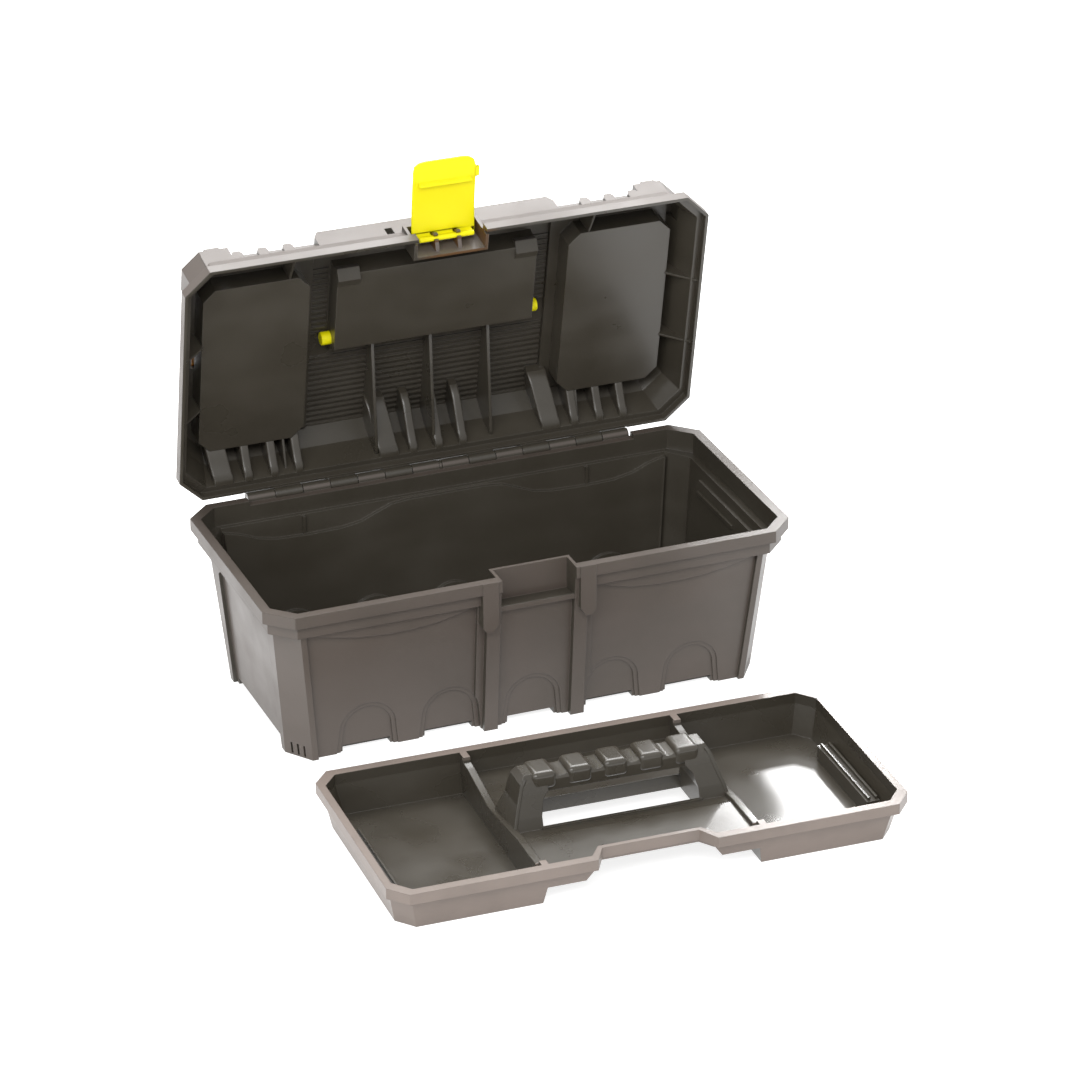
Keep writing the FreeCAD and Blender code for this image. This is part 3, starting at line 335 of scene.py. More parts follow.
@dataclass(frozen=True)
class PaintedGlow:
    """Painted glow: colour that stands in for light coming through a moulding around one place.

    Attributes:
        centre: The place.
        colour: The colour.
        radius: How far it reaches.
        core: Share of the radius at which it starts to fade.
        strength: Its share at the core.
    """

    centre: Point
    colour: Colour
    radius: float = 0.034
    core: float = 0.55
    strength: float = 0.85

    def share(self, net: Wiring, coord: bpy.types.NodeSocket) -> bpy.types.NodeSocket:
        """How much of the painted glow shows at a coordinate."""
        gap = net.add("ShaderNodeVectorMath")
        gap.operation = "DISTANCE"
        net.join(coord, gap.inputs[0])
        gap.inputs[1].default_value = self.centre
        return net.span(gap.outputs["Value"], (self.radius * self.core, self.radius),
                        (self.strength, 0.0))


@dataclass(frozen=True)
class MouldedPlastic:
    """Injection-moulded plastic with flow clouds, upright streaks, fine grain and a thin gloss.

    Attributes:
        name: The material's name.
        colour: Its colour.
        worn: Its colour where clouds and streaks are strongest.
        roughness: Its least roughness.
        roughness_spread: How much the clouds add to it; the streaks add half of that.
        flow: Share of the worn colour in the clouds.
        streaks: Share of the worn colour in the streaks.
        coat: Weight of the gloss.
        specular: Level of the reflection under it.
        through: How much light passes into it.
        outside: The texture of its outer walls, in a paler colour that is partly painted light, if
            it has one.
        painted_glow: A painted glow that stands in for light coming through it around one place, if
            there is one.
        cloud_noise: Noise of the flow clouds.
        cloud_tone: Noise values between which the clouds' worn colour sets in.
        cloud_gloss: Noise values between which the clouds' roughness sets in.
        cloud_relief: Strength and depth of the clouds' relief.
        streak_noise: Noise of the streaks.
        streak_stretch: Scale of that noise along each axis.
        streak_tone: Noise values between which the streaks' worn colour sets in.
        streak_gloss: Noise values between which the streaks' roughness sets in.
        grain_noise: Noise of the grain.
        grain_relief: Strength and depth of the grain.
        edge: Radius by which its edges catch the light.
        refraction: Index of refraction.
        coat_roughness: Roughness of the gloss.
        light_reach: How far red, green and blue light pass into it.
        light_scale: Scale of that reach.
    """

    name: str
    colour: Colour
    worn: Colour
    roughness: float = 0.3
    roughness_spread: float = 0.14
    flow: float = 0.35
    streaks: float = 0.3
    coat: float = 0.15
    specular: float = 0.5
    through: float = 0.0
    outside: SparkTextureAndPaintedLight | None = None
    painted_glow: PaintedGlow | None = None

    cloud_noise: Noise = Noise(22.0, 4.0, 0.5)
    cloud_tone: Range = (0.38, 0.78)
    cloud_gloss: Range = (0.3, 0.7)
    cloud_relief: tuple[float, float] = (0.06, 1.0 * MM)
    streak_noise: Noise = Noise(3.0, 1.0, 0.4)
    streak_stretch: Point = (4.0, 4.0, 18.0)
    streak_tone: Range = (0.35, 0.8)
    streak_gloss: Range = (0.35, 0.75)
    grain_noise: Noise = Noise(620.0, 1.0, 0.5)
    grain_relief: tuple[float, float] = (0.03, 0.1 * MM)
    edge: float = 0.9 * MM
    refraction: float = 1.49
    coat_roughness: float = 0.16
    light_reach: Point = (0.006, 0.005, 0.0008)
    light_scale: float = 0.6

    def build(self) -> bpy.types.Material:
        """Make the node material.

        Returns:
            The finished material.
        """
        net = Wiring(self.name)
        place = net.add("ShaderNodeTexCoord")
        coord = place.outputs["Object"]
        clouds = net.noise(coord, self.cloud_noise)
        streak = net.noise(net.stretched(coord, self.streak_stretch), self.streak_noise)
        grain = net.noise(coord, self.grain_noise)

        cloudy = net.span(clouds, self.cloud_tone, (0.0, self.flow))
        tone = net.mix_colour(self.colour, self.worn, cloudy)
        streaky = net.span(streak, self.streak_tone, (0.0, self.streaks))
        tone = net.mix_colour(tone, self.worn, streaky)
        # Painted glow: colour standing in for light that comes through the moulding around one place
        if self.painted_glow is not None:
            tone = net.mix_colour(tone, self.painted_glow.colour, self.painted_glow.share(net, coord))

        spread = self.roughness_spread
        rough = net.maths("ADD", net.span(clouds, self.cloud_gloss, (0.0, spread)), self.roughness)
        rough = net.maths("ADD", rough, net.span(streak, self.streak_gloss, (0.0, spread * 0.5)))
        # Paler outer walls: a matt texture, with painted light in the lid's and tray's lighter tones
        # and a painted highlight on up-facing rim tops
        if self.outside is not None:
            outer = self.outside.share(net, place)
            pale = self.outside.tone(net, coord, self.colour)
            tone = net.mix_colour(tone, pale, outer)
            rougher = self.outside.roughness - self.roughness
            rough = net.maths("ADD", rough, net.maths("MULTIPLY", outer, rougher))
        net.join(tone, net.shader.inputs["Base Color"])
        net.join(rough, net.shader.inputs["Roughness"])

        fine = net.bump(grain, *self.grain_relief, after=net.soft_edges(self.edge))
        wavy = net.bump(clouds, *self.cloud_relief, after=fine)
        net.join(wavy, net.shader.inputs["Normal"])

        net.set(IOR=self.refraction, Specular_IOR_Level=self.specular, Coat_Weight=self.coat,
                Coat_Roughness=self.coat_roughness)
        if self.through > 0.0:
            net.set(Subsurface_Weight=self.through, Subsurface_Radius=self.light_reach,
                    Subsurface_Scale=self.light_scale)
        return net.material


@dataclass(frozen=True)
class DrawnWire:
    """Bright drawn steel wire with lengthwise draw lines.

    Attributes:
        name: The material's name.
        lines: Noise of the draw lines.
        stretch: Scale of that noise along each axis.
        gloss_range: Noise values that the roughness is read from.
        roughness: Roughness at the ends of that range.
        relief: Strength and depth of the lines.
    """

    name: str
    lines: Noise = Noise(1.0, 3.0, 0.6)
    stretch: Point = (8.0, 900.0, 900.0)
    gloss_range: Range = (0.2, 0.8)
    roughness: Range = (0.22, 0.42)
    relief: tuple[float, float] = (0.2, 0.05 * MM)

    def build(self) -> bpy.types.Material:
        """Make the node material.

        Returns:
            The finished material.
        """
        net = Wiring(self.name)
        coord = net.add("ShaderNodeTexCoord").outputs["Object"]
        lines = net.noise(net.stretched(coord, self.stretch), self.lines)
        net.join(net.mix_colour(WIRE_DARK, WIRE_BRIGHT, lines), net.shader.inputs["Base Color"])
        net.join(net.span(lines, self.gloss_range, self.roughness), net.shader.inputs["Roughness"])
        net.join(net.bump(lines, *self.relief), net.shader.inputs["Normal"])
        net.set(Metallic=1.0)
        return net.material


@dataclass(frozen=True)
class Finishes:
    """The toolbox's finished materials."""

    base: bpy.types.Material
    lid: bpy.types.Material
    tray: bpy.types.Material
    yellow: bpy.types.Material
    amber: bpy.types.Material
    wire: bpy.types.Material

    @classmethod
    def make(cls, hinge: Vector, open_angle: float, tray_centre: Vector) -> "Finishes":
        """Build every material.

        Args:
            hinge: Axis point of the lid's hinge.
            open_angle: How far the lid stands open, in radians.
            tray_centre: Middle of the tray's floor.

        Returns:
            The set of materials.
        """
        # Centre of the painted amber glow on the lid, next to the latch hooks; it stands in for
        # light through the yellow latch
        low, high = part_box("latch_flap")
        along, back, up = (value * MM for value in HOOKS_FROM_FLAP)
        hooks = ((low.x + high.x) / 2 + along, low.y + back, low.z + up)
        # Outer walls in paler colours, partly painted light: the lid's and tray's tones and the
        # up-facing rim tops of base and tray stand in for the light on them
        base_walls = SparkTextureAndPaintedLight(BASE_OUTSIDE, reach=(0.172, 0.073), top=0.119)
        lid_walls = SparkTextureAndPaintedLight(LID_OUTSIDE_PAINTED_LIGHT, reach=(0.1805, 0.082), top=0.150, rim_only=False,
                                 turn=(open_angle, 0.0, 0.0), pivot=tuple(hinge))
        tray_walls = SparkTextureAndPaintedLight(TRAY_OUTSIDE_PAINTED_LIGHT, reach=(0.176, 0.070), top=0.0295,
                                  centre=tuple(tray_centre), turn=(0.0, 0.0, -TRAY_TURNED),
                                  pivot=tuple(tray_centre))
        return cls(
            base=MouldedPlastic("base_brown", INSIDE, INSIDE_WORN, outside=base_walls).build(),
            lid=MouldedPlastic("lid_brown", INSIDE, INSIDE_WORN, roughness=0.24, outside=lid_walls,
                               painted_glow=PaintedGlow(hooks, AMBER_GLOW_PAINT)).build(),
            tray=MouldedPlastic("tray_brown", INSIDE, INSIDE_WORN, roughness=0.20, coat=0.3,
                                outside=tray_walls).build(),
            yellow=MouldedPlastic("latch_yellow", YELLOW, YELLOW_WORN, roughness=0.4, flow=0.3,
                                  streaks=0.1, through=0.25, specular=0.2, coat=0.05).build(),
            amber=MouldedPlastic("cover_amber", AMBER, AMBER_WORN, roughness=0.2, flow=0.2,
                                 streaks=0.2, through=0.2, coat=0.4).build(),
            wire=DrawnWire("pin_wire").build())


# ----------------------------------------------------------------- modelling
class Bench:
    """Operator calls on one piece at a time."""

    @staticmethod
    def clear() -> None:
        """Deselect everything, in object mode."""
        if bpy.context.object is not None and bpy.context.object.mode != "OBJECT":
            bpy.ops.object.mode_set(mode="OBJECT")
        bpy.ops.object.select_all(action="DESELECT")

    @classmethod
    def pick(cls, piece: bpy.types.Object) -> None:
        """Make one piece the only one selected, and active."""
        cls.clear()
        piece.select_set(True)
        bpy.context.view_layer.objects.active = piece

    @staticmethod
    def name_new(name: str) -> bpy.types.Object:
        """Name the primitive that was just added, and its mesh."""
        piece = bpy.context.object
        piece.name = name
        piece.data.name = name
        return piece

    @staticmethod
    def settle() -> None:
        """Put the active piece's place, turn and scale into its mesh."""
        bpy.ops.object.transform_apply(location=True, rotation=True, scale=True)

    @classmethod
    def copy_of(cls, node: str, name: str) -> bpy.types.Object:
        """A welded copy of a CAD node, with flat faces in one piece.

        Args:
            node: The CAD node.
            name: Name of the new piece.

        Returns:
            The copy, at the origin and with no parent.
        """
        piece = bpy.data.objects.new(name, frame["nodes"][node].data.copy())
        piece.data.name = name
        piece.data.materials.clear()
        bpy.context.scene.collection.objects.link(piece)
        cls.pick(piece)
        bpy.ops.object.mode_set(mode="EDIT")
        bpy.ops.mesh.customdata_custom_splitnormals_clear()
        bpy.ops.mesh.select_all(action="SELECT")
        bpy.ops.mesh.remove_doubles(threshold=WELD)
        bpy.ops.mesh.dissolve_limited(angle_limit=FLAT_ANGLE)
        bpy.ops.object.mode_set(mode="OBJECT")
        return piece

    @classmethod
    def modify(cls, piece: bpy.types.Object, kind: str, **settings: object) -> None:
        """Add one modifier with its settings and apply it."""
        cls.pick(piece)
        step = piece.modifiers.new(kind.title(), kind)
        for key, value in settings.items():
            setattr(step, key, value)
        bpy.ops.object.modifier_apply(modifier=step.name)

    @classmethod
    def bevel(cls, piece: bpy.types.Object, width: float, segments: int, sharper_than: float,
              clamped: bool = True) -> None:
        """Round the edges that turn by more than an angle.

        Args:
            piece: The piece to round.
            width: Width of the rounding in metres.
            segments: Facets across it.
            sharper_than: The angle in degrees.
            clamped: Whether the width gives way where two roundings would meet.
        """
        cls.modify(piece, "BEVEL", width=width, segments=segments, limit_method="ANGLE",
                   angle_limit=math.radians(sharper_than), use_clamp_overlap=clamped,
                   harden_normals=False)

    @classmethod
    def round_copy(cls, piece: bpy.types.Object, width: float, segments: int = 2) -> None:
        """Round the edges of a CAD copy and pull back any corner that strays.

        Args:
            piece: The copy to round.
            width: Width of the rounding in metres.
            segments: Facets across it.
        """
        shape = bmesh.new()
        shape.from_mesh(piece.data)
        skin = BVHTree.FromBMesh(shape)
        shape.free()
        cls.bevel(piece, width, segments, COPY_EDGE, clamped=False)
        for vertex in piece.data.vertices:
            spot, _normal, _index, gap = skin.find_nearest(vertex.co)
            if spot is not None and gap > width * STRAY:
                vertex.co = spot
        piece.data.update()
        cls.smooth(piece)

    @classmethod
    def smooth(cls, piece: bpy.types.Object, angle: float = SMOOTH_ANGLE) -> None:
        """Shade smooth across gentle edges, weighted by face area."""
        cls.pick(piece)
        bpy.ops.object.shade_smooth_by_angle(angle=angle)
        cls.modify(piece, "WEIGHTED_NORMAL", keep_sharp=True, weight=LARGE_FACES)

    @classmethod
    def block(cls, name: str, low: Sequence[float], high: Sequence[float]) -> bpy.types.Object:
        """A cube primitive at its size and place, with its place in its mesh."""
        cls.clear()
        centre = [(a + b) / 2 for a, b in zip(low, high)]
        bpy.ops.mesh.primitive_cube_add(size=1.0, location=centre)
        piece = cls.name_new(name)
        piece.scale = [b - a for a, b in zip(low, high)]
        cls.settle()
        return piece

    @classmethod
    def select_faces(cls, piece: bpy.types.Object,
                     wanted: Callable[[bpy.types.MeshPolygon], bool]) -> None:
        """Enter edit mode with only the faces that a test picks."""
        cls.pick(piece)
        bpy.ops.object.mode_set(mode="EDIT")
        bpy.ops.mesh.select_mode(type="FACE")
        bpy.ops.mesh.select_all(action="DESELECT")
        bpy.ops.object.mode_set(mode="OBJECT")
        for face in piece.data.polygons:
            face.select = bool(wanted(face))
        bpy.ops.object.mode_set(mode="EDIT")

    @classmethod
    def strip(cls, name: str, width: float, depth: float, stops: Sequence[Sequence[float]],
              rounding: float) -> bpy.types.Object:
        """A bar drawn out from a flat section through stops, with its edges rounded.

        Args:
            name: Name of the piece.
            width: Its size along X, in millimetres.
            depth: Its size along Z.
            stops: Centres of its section from one end to the other.
            rounding: Radius of its edges.

        Returns:
            The bar.
        """
        cls.clear()
        bpy.ops.mesh.primitive_plane_add(size=1.0, location=Vector(stops[0]) * MM,
                                         rotation=(math.pi / 2, 0.0, 0.0))
        piece = cls.name_new(name)
        piece.scale = (width * MM, depth * MM, 1.0)
        cls.settle()
        bpy.ops.object.mode_set(mode="EDIT")
        bpy.ops.mesh.select_mode(type="FACE")
        bpy.ops.mesh.select_all(action="SELECT")
        for before, after in zip(stops, stops[1:]):
            step = (Vector(after) - Vector(before)) * MM
            bpy.ops.mesh.extrude_region_move(TRANSFORM_OT_translate={"value": step})
        bpy.ops.mesh.select_all(action="SELECT")
        bpy.ops.mesh.normals_make_consistent(inside=False)
        bpy.ops.object.mode_set(mode="OBJECT")
        cls.bevel(piece, rounding * MM, 4, STRIP_EDGE)
        cls.smooth(piece, math.radians(STRIP_EDGE))
        return piece

    @classmethod
    def repeat(cls, pattern: bpy.types.Object, name: str, along: float) -> bpy.types.Object:
        """A copy of a piece with its own mesh, moved along X by millimetres."""
        piece = bpy.data.objects.new(name, pattern.data.copy())
        piece.data.name = name
        piece.data.transform(Matrix.Translation(Vector((along * MM, 0.0, 0.0))))
        bpy.context.scene.collection.objects.link(piece)
        return piece

    @classmethod
    def turn(cls, piece: bpy.types.Object, about: Vector, axis: str, angle: float) -> None:
        """Turn a piece's mesh about a point."""
        spin = Matrix.Rotation(angle, 4, axis)
        piece.data.transform(Matrix.Translation(about) @ spin @ Matrix.Translation(-about))
        piece.data.update()


def coat_mesh(piece: bpy.types.Object, mat: bpy.types.Material) -> None:
    """Give every face of a piece one material."""
    piece.data.materials.clear()
    piece.data.materials.append(mat)
    for face in piece.data.polygons:
        face.material_index = 0


def dress(piece: bpy.types.Object, mat: bpy.types.Material, part: Part,
          replaced: Iterable[str] = ()) -> None:
    """Give a new piece its material and body, and report it.

    Args:
        piece: The finished piece.
        mat: Its material.
        part: The body it rides on.
        replaced: CAD nodes that it stands for.
    """
    coat_mesh(piece, mat)
    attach(piece, part.value)
    for node in replaced:
        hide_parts(node)
    LOG.info("%s on %s, %d faces", piece.name, part.value, len(piece.data.polygons))


def finish_node(node: str, mat: bpy.types.Material) -> None:
    """Give a CAD node its material, and report it."""
    coat_mesh(frame["nodes"][node], mat)
    LOG.info("%s keeps its moulded shape, finish %s", node, mat.name)


# ----------------------------------------------------------------- the toolbox
def hinge_place() -> tuple[Vector, float]:
    """Find the lid's hinge.

    Returns:
        A point on its axis, and how far the lid stands open in radians.
    """
    for joint in frame["joints"]:
        if joint["name"] == "lid_hinge":
            _back, shut = joint["range_deg"]
            return Vector(joint["pos_m"]), math.radians(shut)
    raise LookupError("the lid has no hinge")


@dataclass
class BaseTub:
    """The base moulding, the two wires of its hinge and the rounded knuckle between them.

    Sizes are in millimetres.

    Attributes:
        finish: Material of the moulding.
        wire: Material of the wires.
        hinge: Axis point of the lid's hinge.
        knuckle_radius: Radius of the middle knuckle.
        knuckle_width: Its length along the hinge.
        end_margin: Width of the rim around each of its dished ends.
        end_dish: How far each end is set in.
        rounding: Rounding of its edges.
    """

    finish: bpy.types.Material
    wire: bpy.types.Material
    hinge: Vector
    knuckle_radius: float = 4.3
    knuckle_width: float = 2.0
    end_margin: float = 1.2
    end_dish: float = 0.2
    rounding: float = 0.3

    def build(self) -> None:
        """Dress the tub and the wires, and add the middle knuckle."""
        finish_node("base_tub", self.finish)
        for side in ("left", "right"):
            finish_node(f"hinge_pin_{side}", self.wire)
        dress(self.knuckle(), self.finish, Part.BASE)

    def knuckle(self) -> bpy.types.Object:
        """The middle knuckle, with dished ends and rounded edges."""
        Bench.clear()
        bpy.ops.mesh.primitive_cylinder_add(
            vertices=40, radius=self.knuckle_radius * MM, depth=self.knuckle_width * MM,
            location=self.hinge, rotation=(0.0, math.pi / 2, 0.0))
        piece = Bench.name_new("middle_knuckle")
        Bench.settle()
        Bench.select_faces(piece, lambda face: abs(face.normal.x) > ALIGNED)
        bpy.ops.mesh.inset(thickness=self.end_margin * MM, depth=-self.end_dish * MM,
                           use_individual=True)
        bpy.ops.object.mode_set(mode="OBJECT")
        Bench.bevel(piece, self.rounding * MM, 3, SOLID_EDGE)
        Bench.smooth(piece)
        return piece


@dataclass
class Lid:
    """The lid moulding, the rounded ribs on its hinge side and its organiser covers.

    Sizes are in millimetres, in the frame of the closed lid.

    Attributes:
        finish: Material of the moulding and its ribs.
        cover_finish: Material of the covers.
        hinge: Axis point of the hinge.
        open_angle: How far the lid stands open, in radians.
        group_starts: Place of each group's slanted facet along X.
        rib_steps: Places of a group's ribs after its facet.
        rib_half: Half the width of a rib.
        facet_half: Half the width of a facet.
        facet_slant: How far a facet's two ends are shifted apart, each way.
        rib_rounding: Rounding of a rib's edges.
        facet_rounding: Rounding of a facet's edges.
        line: Depth and height of the moulded wedges' undersides, from front to back.
        proud: How far the ribs stand out of them.
        depth: Depth of the ribs.
        cover_rounding: Rounding of the covers' edges.
    """

    finish: bpy.types.Material
    cover_finish: bpy.types.Material
    hinge: Vector
    open_angle: float
    group_starts: tuple[float, ...] = (-166.0, -38.0, 90.0)
    rib_steps: tuple[float, ...] = (21.0, 41.0, 60.0)
    rib_half: float = 3.3
    facet_half: float = 7.5
    facet_slant: float = 2.5
    rib_rounding: float = 2.1
    facet_rounding: float = 1.3
    line: tuple[tuple[float, float], ...] = (
        (58.2, 158.0), (64.0, 151.0), (77.5, 141.4), (86.0, 135.3), (88.2, 131.9), (95.0, 131.0))
    proud: float = 1.3
    depth: float = 5.4
    cover_rounding: float = 0.6

    def build(self) -> None:
        """Dress the moulding, and add the rounded ribs and covers."""
        finish_node("lid_shell", self.finish)
        rib = self.rib("lid_rib", self.rib_half, 0.0, self.rib_rounding)
        facet = self.rib("lid_facet", self.facet_half, self.facet_slant, self.facet_rounding)
        for group, start in enumerate(self.group_starts, 1):
            self.place(facet, f"lid_facet_{group}", start)
            for index, step in enumerate(self.rib_steps, 1):
                self.place(rib, f"lid_rib_{group}_{index}", start + step)
        for spare in (rib, facet):
            bpy.data.objects.remove(spare)
        for side, part in (("left", Part.COVER_LEFT), ("right", Part.COVER_RIGHT)):
            cover = Bench.copy_of(f"organiser_cover_{side}", f"rounded_cover_{side}")
            Bench.round_copy(cover, self.cover_rounding * MM)
            dress(cover, self.cover_finish, part, [f"organiser_cover_{side}"])

    def rib(self, name: str, half: float, slant: float, rounding: float) -> bpy.types.Object:
        """One rounded rib at the middle of the closed lid.

        Args:
            name: Its name.
            half: Half its width.
            slant: How far its two ends are shifted apart, each way.
            rounding: Radius of its long edges.

        Returns:
            The rib, to be copied to its places.
        """
        first, last = self.line[0][0], self.line[-1][0]
        stops = []
        for y, z in self.line:
            lean = slant * (2.0 * (y - first) / (last - first) - 1.0)
            stops.append((lean, y, z + self.depth / 2 - self.proud))
        return Bench.strip(name, 2 * half, self.depth, stops, rounding)

    def place(self, pattern: bpy.types.Object, name: str, x: float) -> None:
        """Copy a rib to its place along the lid and open it with the lid."""
        piece = Bench.repeat(pattern, name, x)
        Bench.turn(piece, self.hinge, "X", -self.open_angle)
        dress(piece, self.finish, Part.LID)


@dataclass
class YellowParts:
    """Latch flap and carry handle, both with rounded edges.

    Attributes:
        finish: Their material.
        rounding: Rounding of their edges, in millimetres.
    """

    finish: bpy.types.Material
    rounding: float = 0.8

    def build(self) -> None:
        """Round and dress the flap and the handle."""
        for node, name, part in (("latch_flap", "rounded_flap", Part.LATCH),
                                 ("carry_handle", "rounded_handle", Part.HANDLE)):
            piece = Bench.copy_of(node, name)
            Bench.round_copy(piece, self.rounding * MM, segments=3)
            dress(piece, self.finish, part, [node])


@dataclass
class Tray:
    """The lift-out tray, with the finger lumps of its grip and its posts' and dividers' edges.

    Sizes are in millimetres, in the tray's own frame.

    Attributes:
        finish: Its material.
        centre: Middle of its floor in the shared frame, in metres.
        turned: Its turn on the floor, in radians.
        lumps: Number of finger lumps.
        lump_pitch: Distance between them.
        lump_size: Length, depth and height of a lump.
        lump_flank: Width of the slope around a lump's top.
        lump_crown: Height of its top above that slope.
        lump_rounding: Rounding of its edges.
        grip_middle: Depth of the grip bar's middle.
        grip_top: Height of the lumps' tops.
        bead_depth: Depth of the beads on posts and dividers.
        post_bead: Width and rounding of a post's bead.
        post_line: Its centre line, for the right post.
        divider_bead: Width and rounding of a divider's bead.
        divider_line: Its centre line, for the right divider.
    """

    finish: bpy.types.Material
    centre: Vector
    turned: float = TRAY_TURNED
    lumps: int = 5
    lump_pitch: float = 26.0
    lump_size: tuple[float, float, float] = (17.5, 23.2, 12.5)
    lump_flank: float = 4.0
    lump_crown: float = 0.6
    lump_rounding: float = 3.4
    grip_middle: float = 0.5
    grip_top: float = 57.9
    bead_depth: float = 2.6
    post_bead: tuple[float, float] = (2.6, 1.2)
    post_line: tuple[Point, ...] = (
        (66.0, -9.6, 54.5), (68.6, -10.6, 50.0), (71.2, -13.6, 42.0), (75.6, -19.4, 29.0),
        (78.6, -24.0, 17.0))
    divider_bead: tuple[float, float] = (5.8, 1.0)
    divider_line: tuple[Point, ...] = (
        (78.4, 77.5, 30.6), (78.4, 74.4, 26.6), (78.4, 66.0, 26.0), (78.4, 24.0, 18.6),
        (78.4, -6.0, 21.5), (78.4, -34.0, 24.6), (78.4, -72.0, 25.0))

    def build(self) -> None:
        """Dress the tray and add its rounded pieces."""
        finish_node("lift_out_tray", self.finish)
        lump = self.lump()
        for index in range(self.lumps):
            along = self.lump_pitch * (index - (self.lumps - 1) / 2)
            self.set_down(Bench.repeat(lump, f"grip_lump_{index + 1}", along))
        bpy.data.objects.remove(lump)
        for side, sign in (("left", -1.0), ("right", 1.0)):
            for name, line, (width, rounding) in (
                    ("post_bead", self.post_line, self.post_bead),
                    ("divider_bead", self.divider_line, self.divider_bead)):
                stops = [(sign * x, y, z) for x, y, z in line]
                self.set_down(
                    Bench.strip(f"{name}_{side}", width, self.bead_depth, stops, rounding))

    def lump(self) -> bpy.types.Object:
        """One rounded finger lump, saddled over the middle of the grip bar."""
        length, depth, height = self.lump_size
        low = (-length / 2 * MM, (self.grip_middle - depth / 2) * MM, (self.grip_top - height) * MM)
        high = (length / 2 * MM, (self.grip_middle + depth / 2) * MM, self.grip_top * MM)
        piece = Bench.block("grip_lump", low, high)
        Bench.select_faces(piece, lambda face: face.normal.z > ALIGNED)
        bpy.ops.mesh.inset(thickness=self.lump_flank * MM, depth=self.lump_crown * MM)
        bpy.ops.object.mode_set(mode="OBJECT")
        Bench.bevel(piece, self.lump_rounding * MM, 5, SOLID_EDGE)
        Bench.smooth(piece, math.radians(60.0))
        return piece

    def set_down(self, piece: bpy.types.Object) -> None:
        """Move a piece from the tray's own frame to where the tray lies, and dress it."""
        Bench.turn(piece, Vector((0.0, 0.0, 0.0)), "Z", self.turned)
        piece.data.transform(Matrix.Translation(self.centre))
        dress(piece, self.finish, Part.TRAY)


# ----------------------------------------------------------------- studio
@dataclass(frozen=True)
class SoftBox:
    """One rectangular soft light.

    Attributes:
        name: The light's name.
        at: Its place.
        towards: What it faces.
        size: Width and height in metres.
        power: Watts.
    """

    name: str
    at: Point
    towards: Point
    size: tuple[float, float]
    power: float

    def build(self) -> None:
        """Add the light and aim it."""
        data = bpy.data.lights.new(self.name, "AREA")
        data.shape = "RECTANGLE"
        data.size, data.size_y = self.size
        data.energy = self.power
        light = bpy.data.objects.new(self.name, data)
        bpy.context.scene.collection.objects.link(light)
        aim = Vector(self.towards) - Vector(self.at)
        light.location = Vector(self.at)
        light.rotation_euler = aim.to_track_quat("-Z", "Y").to_euler()


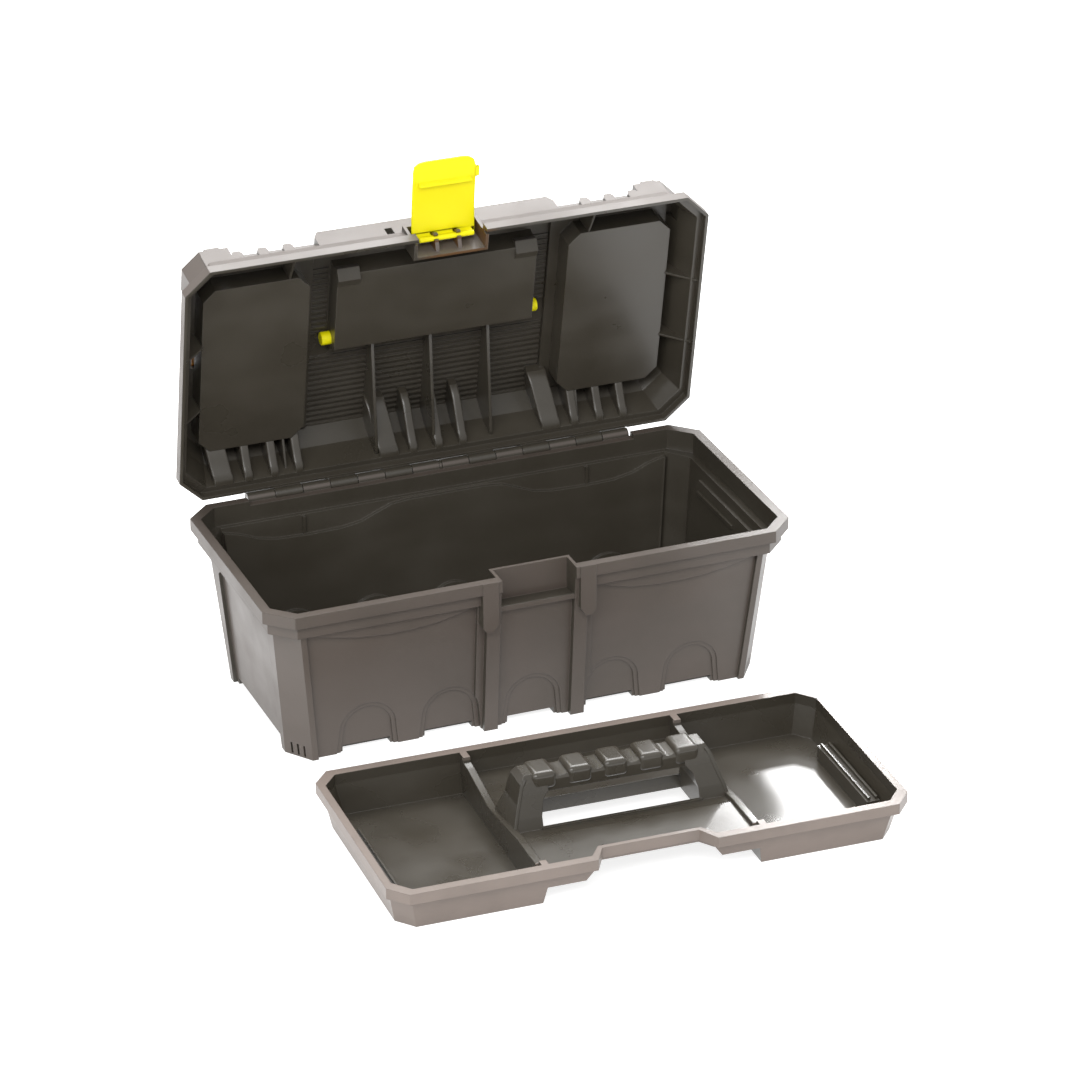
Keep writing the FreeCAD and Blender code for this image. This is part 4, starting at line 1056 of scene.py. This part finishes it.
@dataclass
class Studio:
    """Camera, pale floor, white surroundings and soft lights.

    Attributes:
        lens: The camera's focal length on a sensor of sensor_width, in millimetres.
        camera_at: The camera's place.
        looks_along: The way it looks.
        roll: Its turn about that way, in radians.
        clip: Nearest and farthest distance that it sees.
        floor_size: Edge of the floor.
        floor_drop: How far the floor lies under the toolbox.
        floor_tone: Grey of the floor.
        floor_mottle: How much paler its mottle gets.
        floor_noise: Noise of the mottle.
        floor_glow: Light that the floor gives off by itself.
        surroundings: Strength of the white all around.
        boxes: The lights.
    """

    lens: float = 164.24
    sensor_width: float = 36.0
    camera_at: Point = (-1.13510, -2.98984, 1.66604)
    looks_along: Point = (0.328569, 0.836539, -0.438458)
    roll: float = math.radians(0.415)
    clip: Range = (0.05, 60.0)
    floor_size: float = 30.0
    floor_drop: float = 0.2 * MM
    floor_tone: float = 0.5
    floor_mottle: float = 0.03
    floor_noise: Noise = Noise(3.0, 3.0, 0.5)
    floor_glow: float = 0.8
    surroundings: float = 0.7
    boxes: tuple[SoftBox, ...] = (
        SoftBox("overhead_box", (0.4, 1.2, 2.1), (0.0, 0.0, 0.2), (3.0, 2.0), 130.0),
        SoftBox("front_box", (-0.8, -2.5, 2.5), (0.0, -0.1, 0.1), (2.2, 1.2), 70.0),
        SoftBox("left_box", (-2.2, -1.4, 1.5), (0.0, -0.1, 0.1), (1.4, 1.4), 26.0),
        SoftBox("window_box", (1.10, 1.80, 1.25), (0.13, -0.25, 0.0), (0.20, 0.15), 6.0))

    def build(self) -> None:
        """Set up the whole studio."""
        self.camera()
        self.floor()
        self.white_room()
        for box in self.boxes:
            box.build()

    def camera(self) -> None:
        """Place the camera."""
        data = bpy.data.cameras.new("studio_camera")
        data.lens = self.lens
        data.sensor_width = self.sensor_width
        data.clip_start, data.clip_end = self.clip
        camera = bpy.data.objects.new("studio_camera", data)
        bpy.context.scene.collection.objects.link(camera)
        ahead = Vector(self.looks_along).normalized()
        right = ahead.cross(Vector((0.0, 0.0, 1.0))).normalized()
        above = right.cross(ahead)
        turn = Matrix.Rotation(self.roll, 3, ahead)
        right, above = turn @ right, turn @ above
        stand = Matrix((right, above, -ahead)).transposed().to_4x4()
        stand.translation = Vector(self.camera_at)
        camera.matrix_world = stand
        bpy.context.scene.camera = camera

    def floor(self) -> None:
        """A wide pale floor with a faint mottle."""
        Bench.clear()
        bpy.ops.mesh.primitive_plane_add(size=self.floor_size,
                                         location=(0.0, 0.0, -self.floor_drop))
        floor = Bench.name_new("studio_floor")
        Bench.settle()
        net = Wiring("studio_paper")
        mottle = net.noise(net.add("ShaderNodeTexCoord").outputs["Object"], self.floor_noise)
        tone, pale = (self.floor_tone,) * 3, (self.floor_tone + self.floor_mottle,) * 3
        net.join(net.mix_colour(tone, pale, mottle), net.shader.inputs["Base Color"])
        net.set(Roughness=0.85, Specular_IOR_Level=0.1, Emission_Color=(*WHITE, 1.0),
                Emission_Strength=self.floor_glow)
        floor.data.materials.append(net.material)

    def white_room(self) -> None:
        """White surroundings, shown without a film curve."""
        world = bpy.data.worlds.new("studio_white")
        bpy.context.scene.world = world
        bpy.context.scene.view_settings.view_transform = "Standard"
        world.use_nodes = True
        back = world.node_tree.nodes["Background"]
        back.inputs["Color"].default_value = (*WHITE, 1.0)
        back.inputs["Strength"].default_value = self.surroundings


def main() -> None:
    """Build the studio and every piece of the toolbox."""
    hinge, open_angle = hinge_place()
    tray_centre = Vector(TRAY_CENTRE) * MM
    finishes = Finishes.make(hinge, open_angle, tray_centre)

    Studio().build()
    BaseTub(finishes.base, finishes.wire, hinge).build()
    Lid(finishes.lid, finishes.amber, hinge, open_angle).build()
    YellowParts(finishes.yellow).build()
    Tray(finishes.tray, tray_centre).build()


if __name__ == "__main__":
    main()
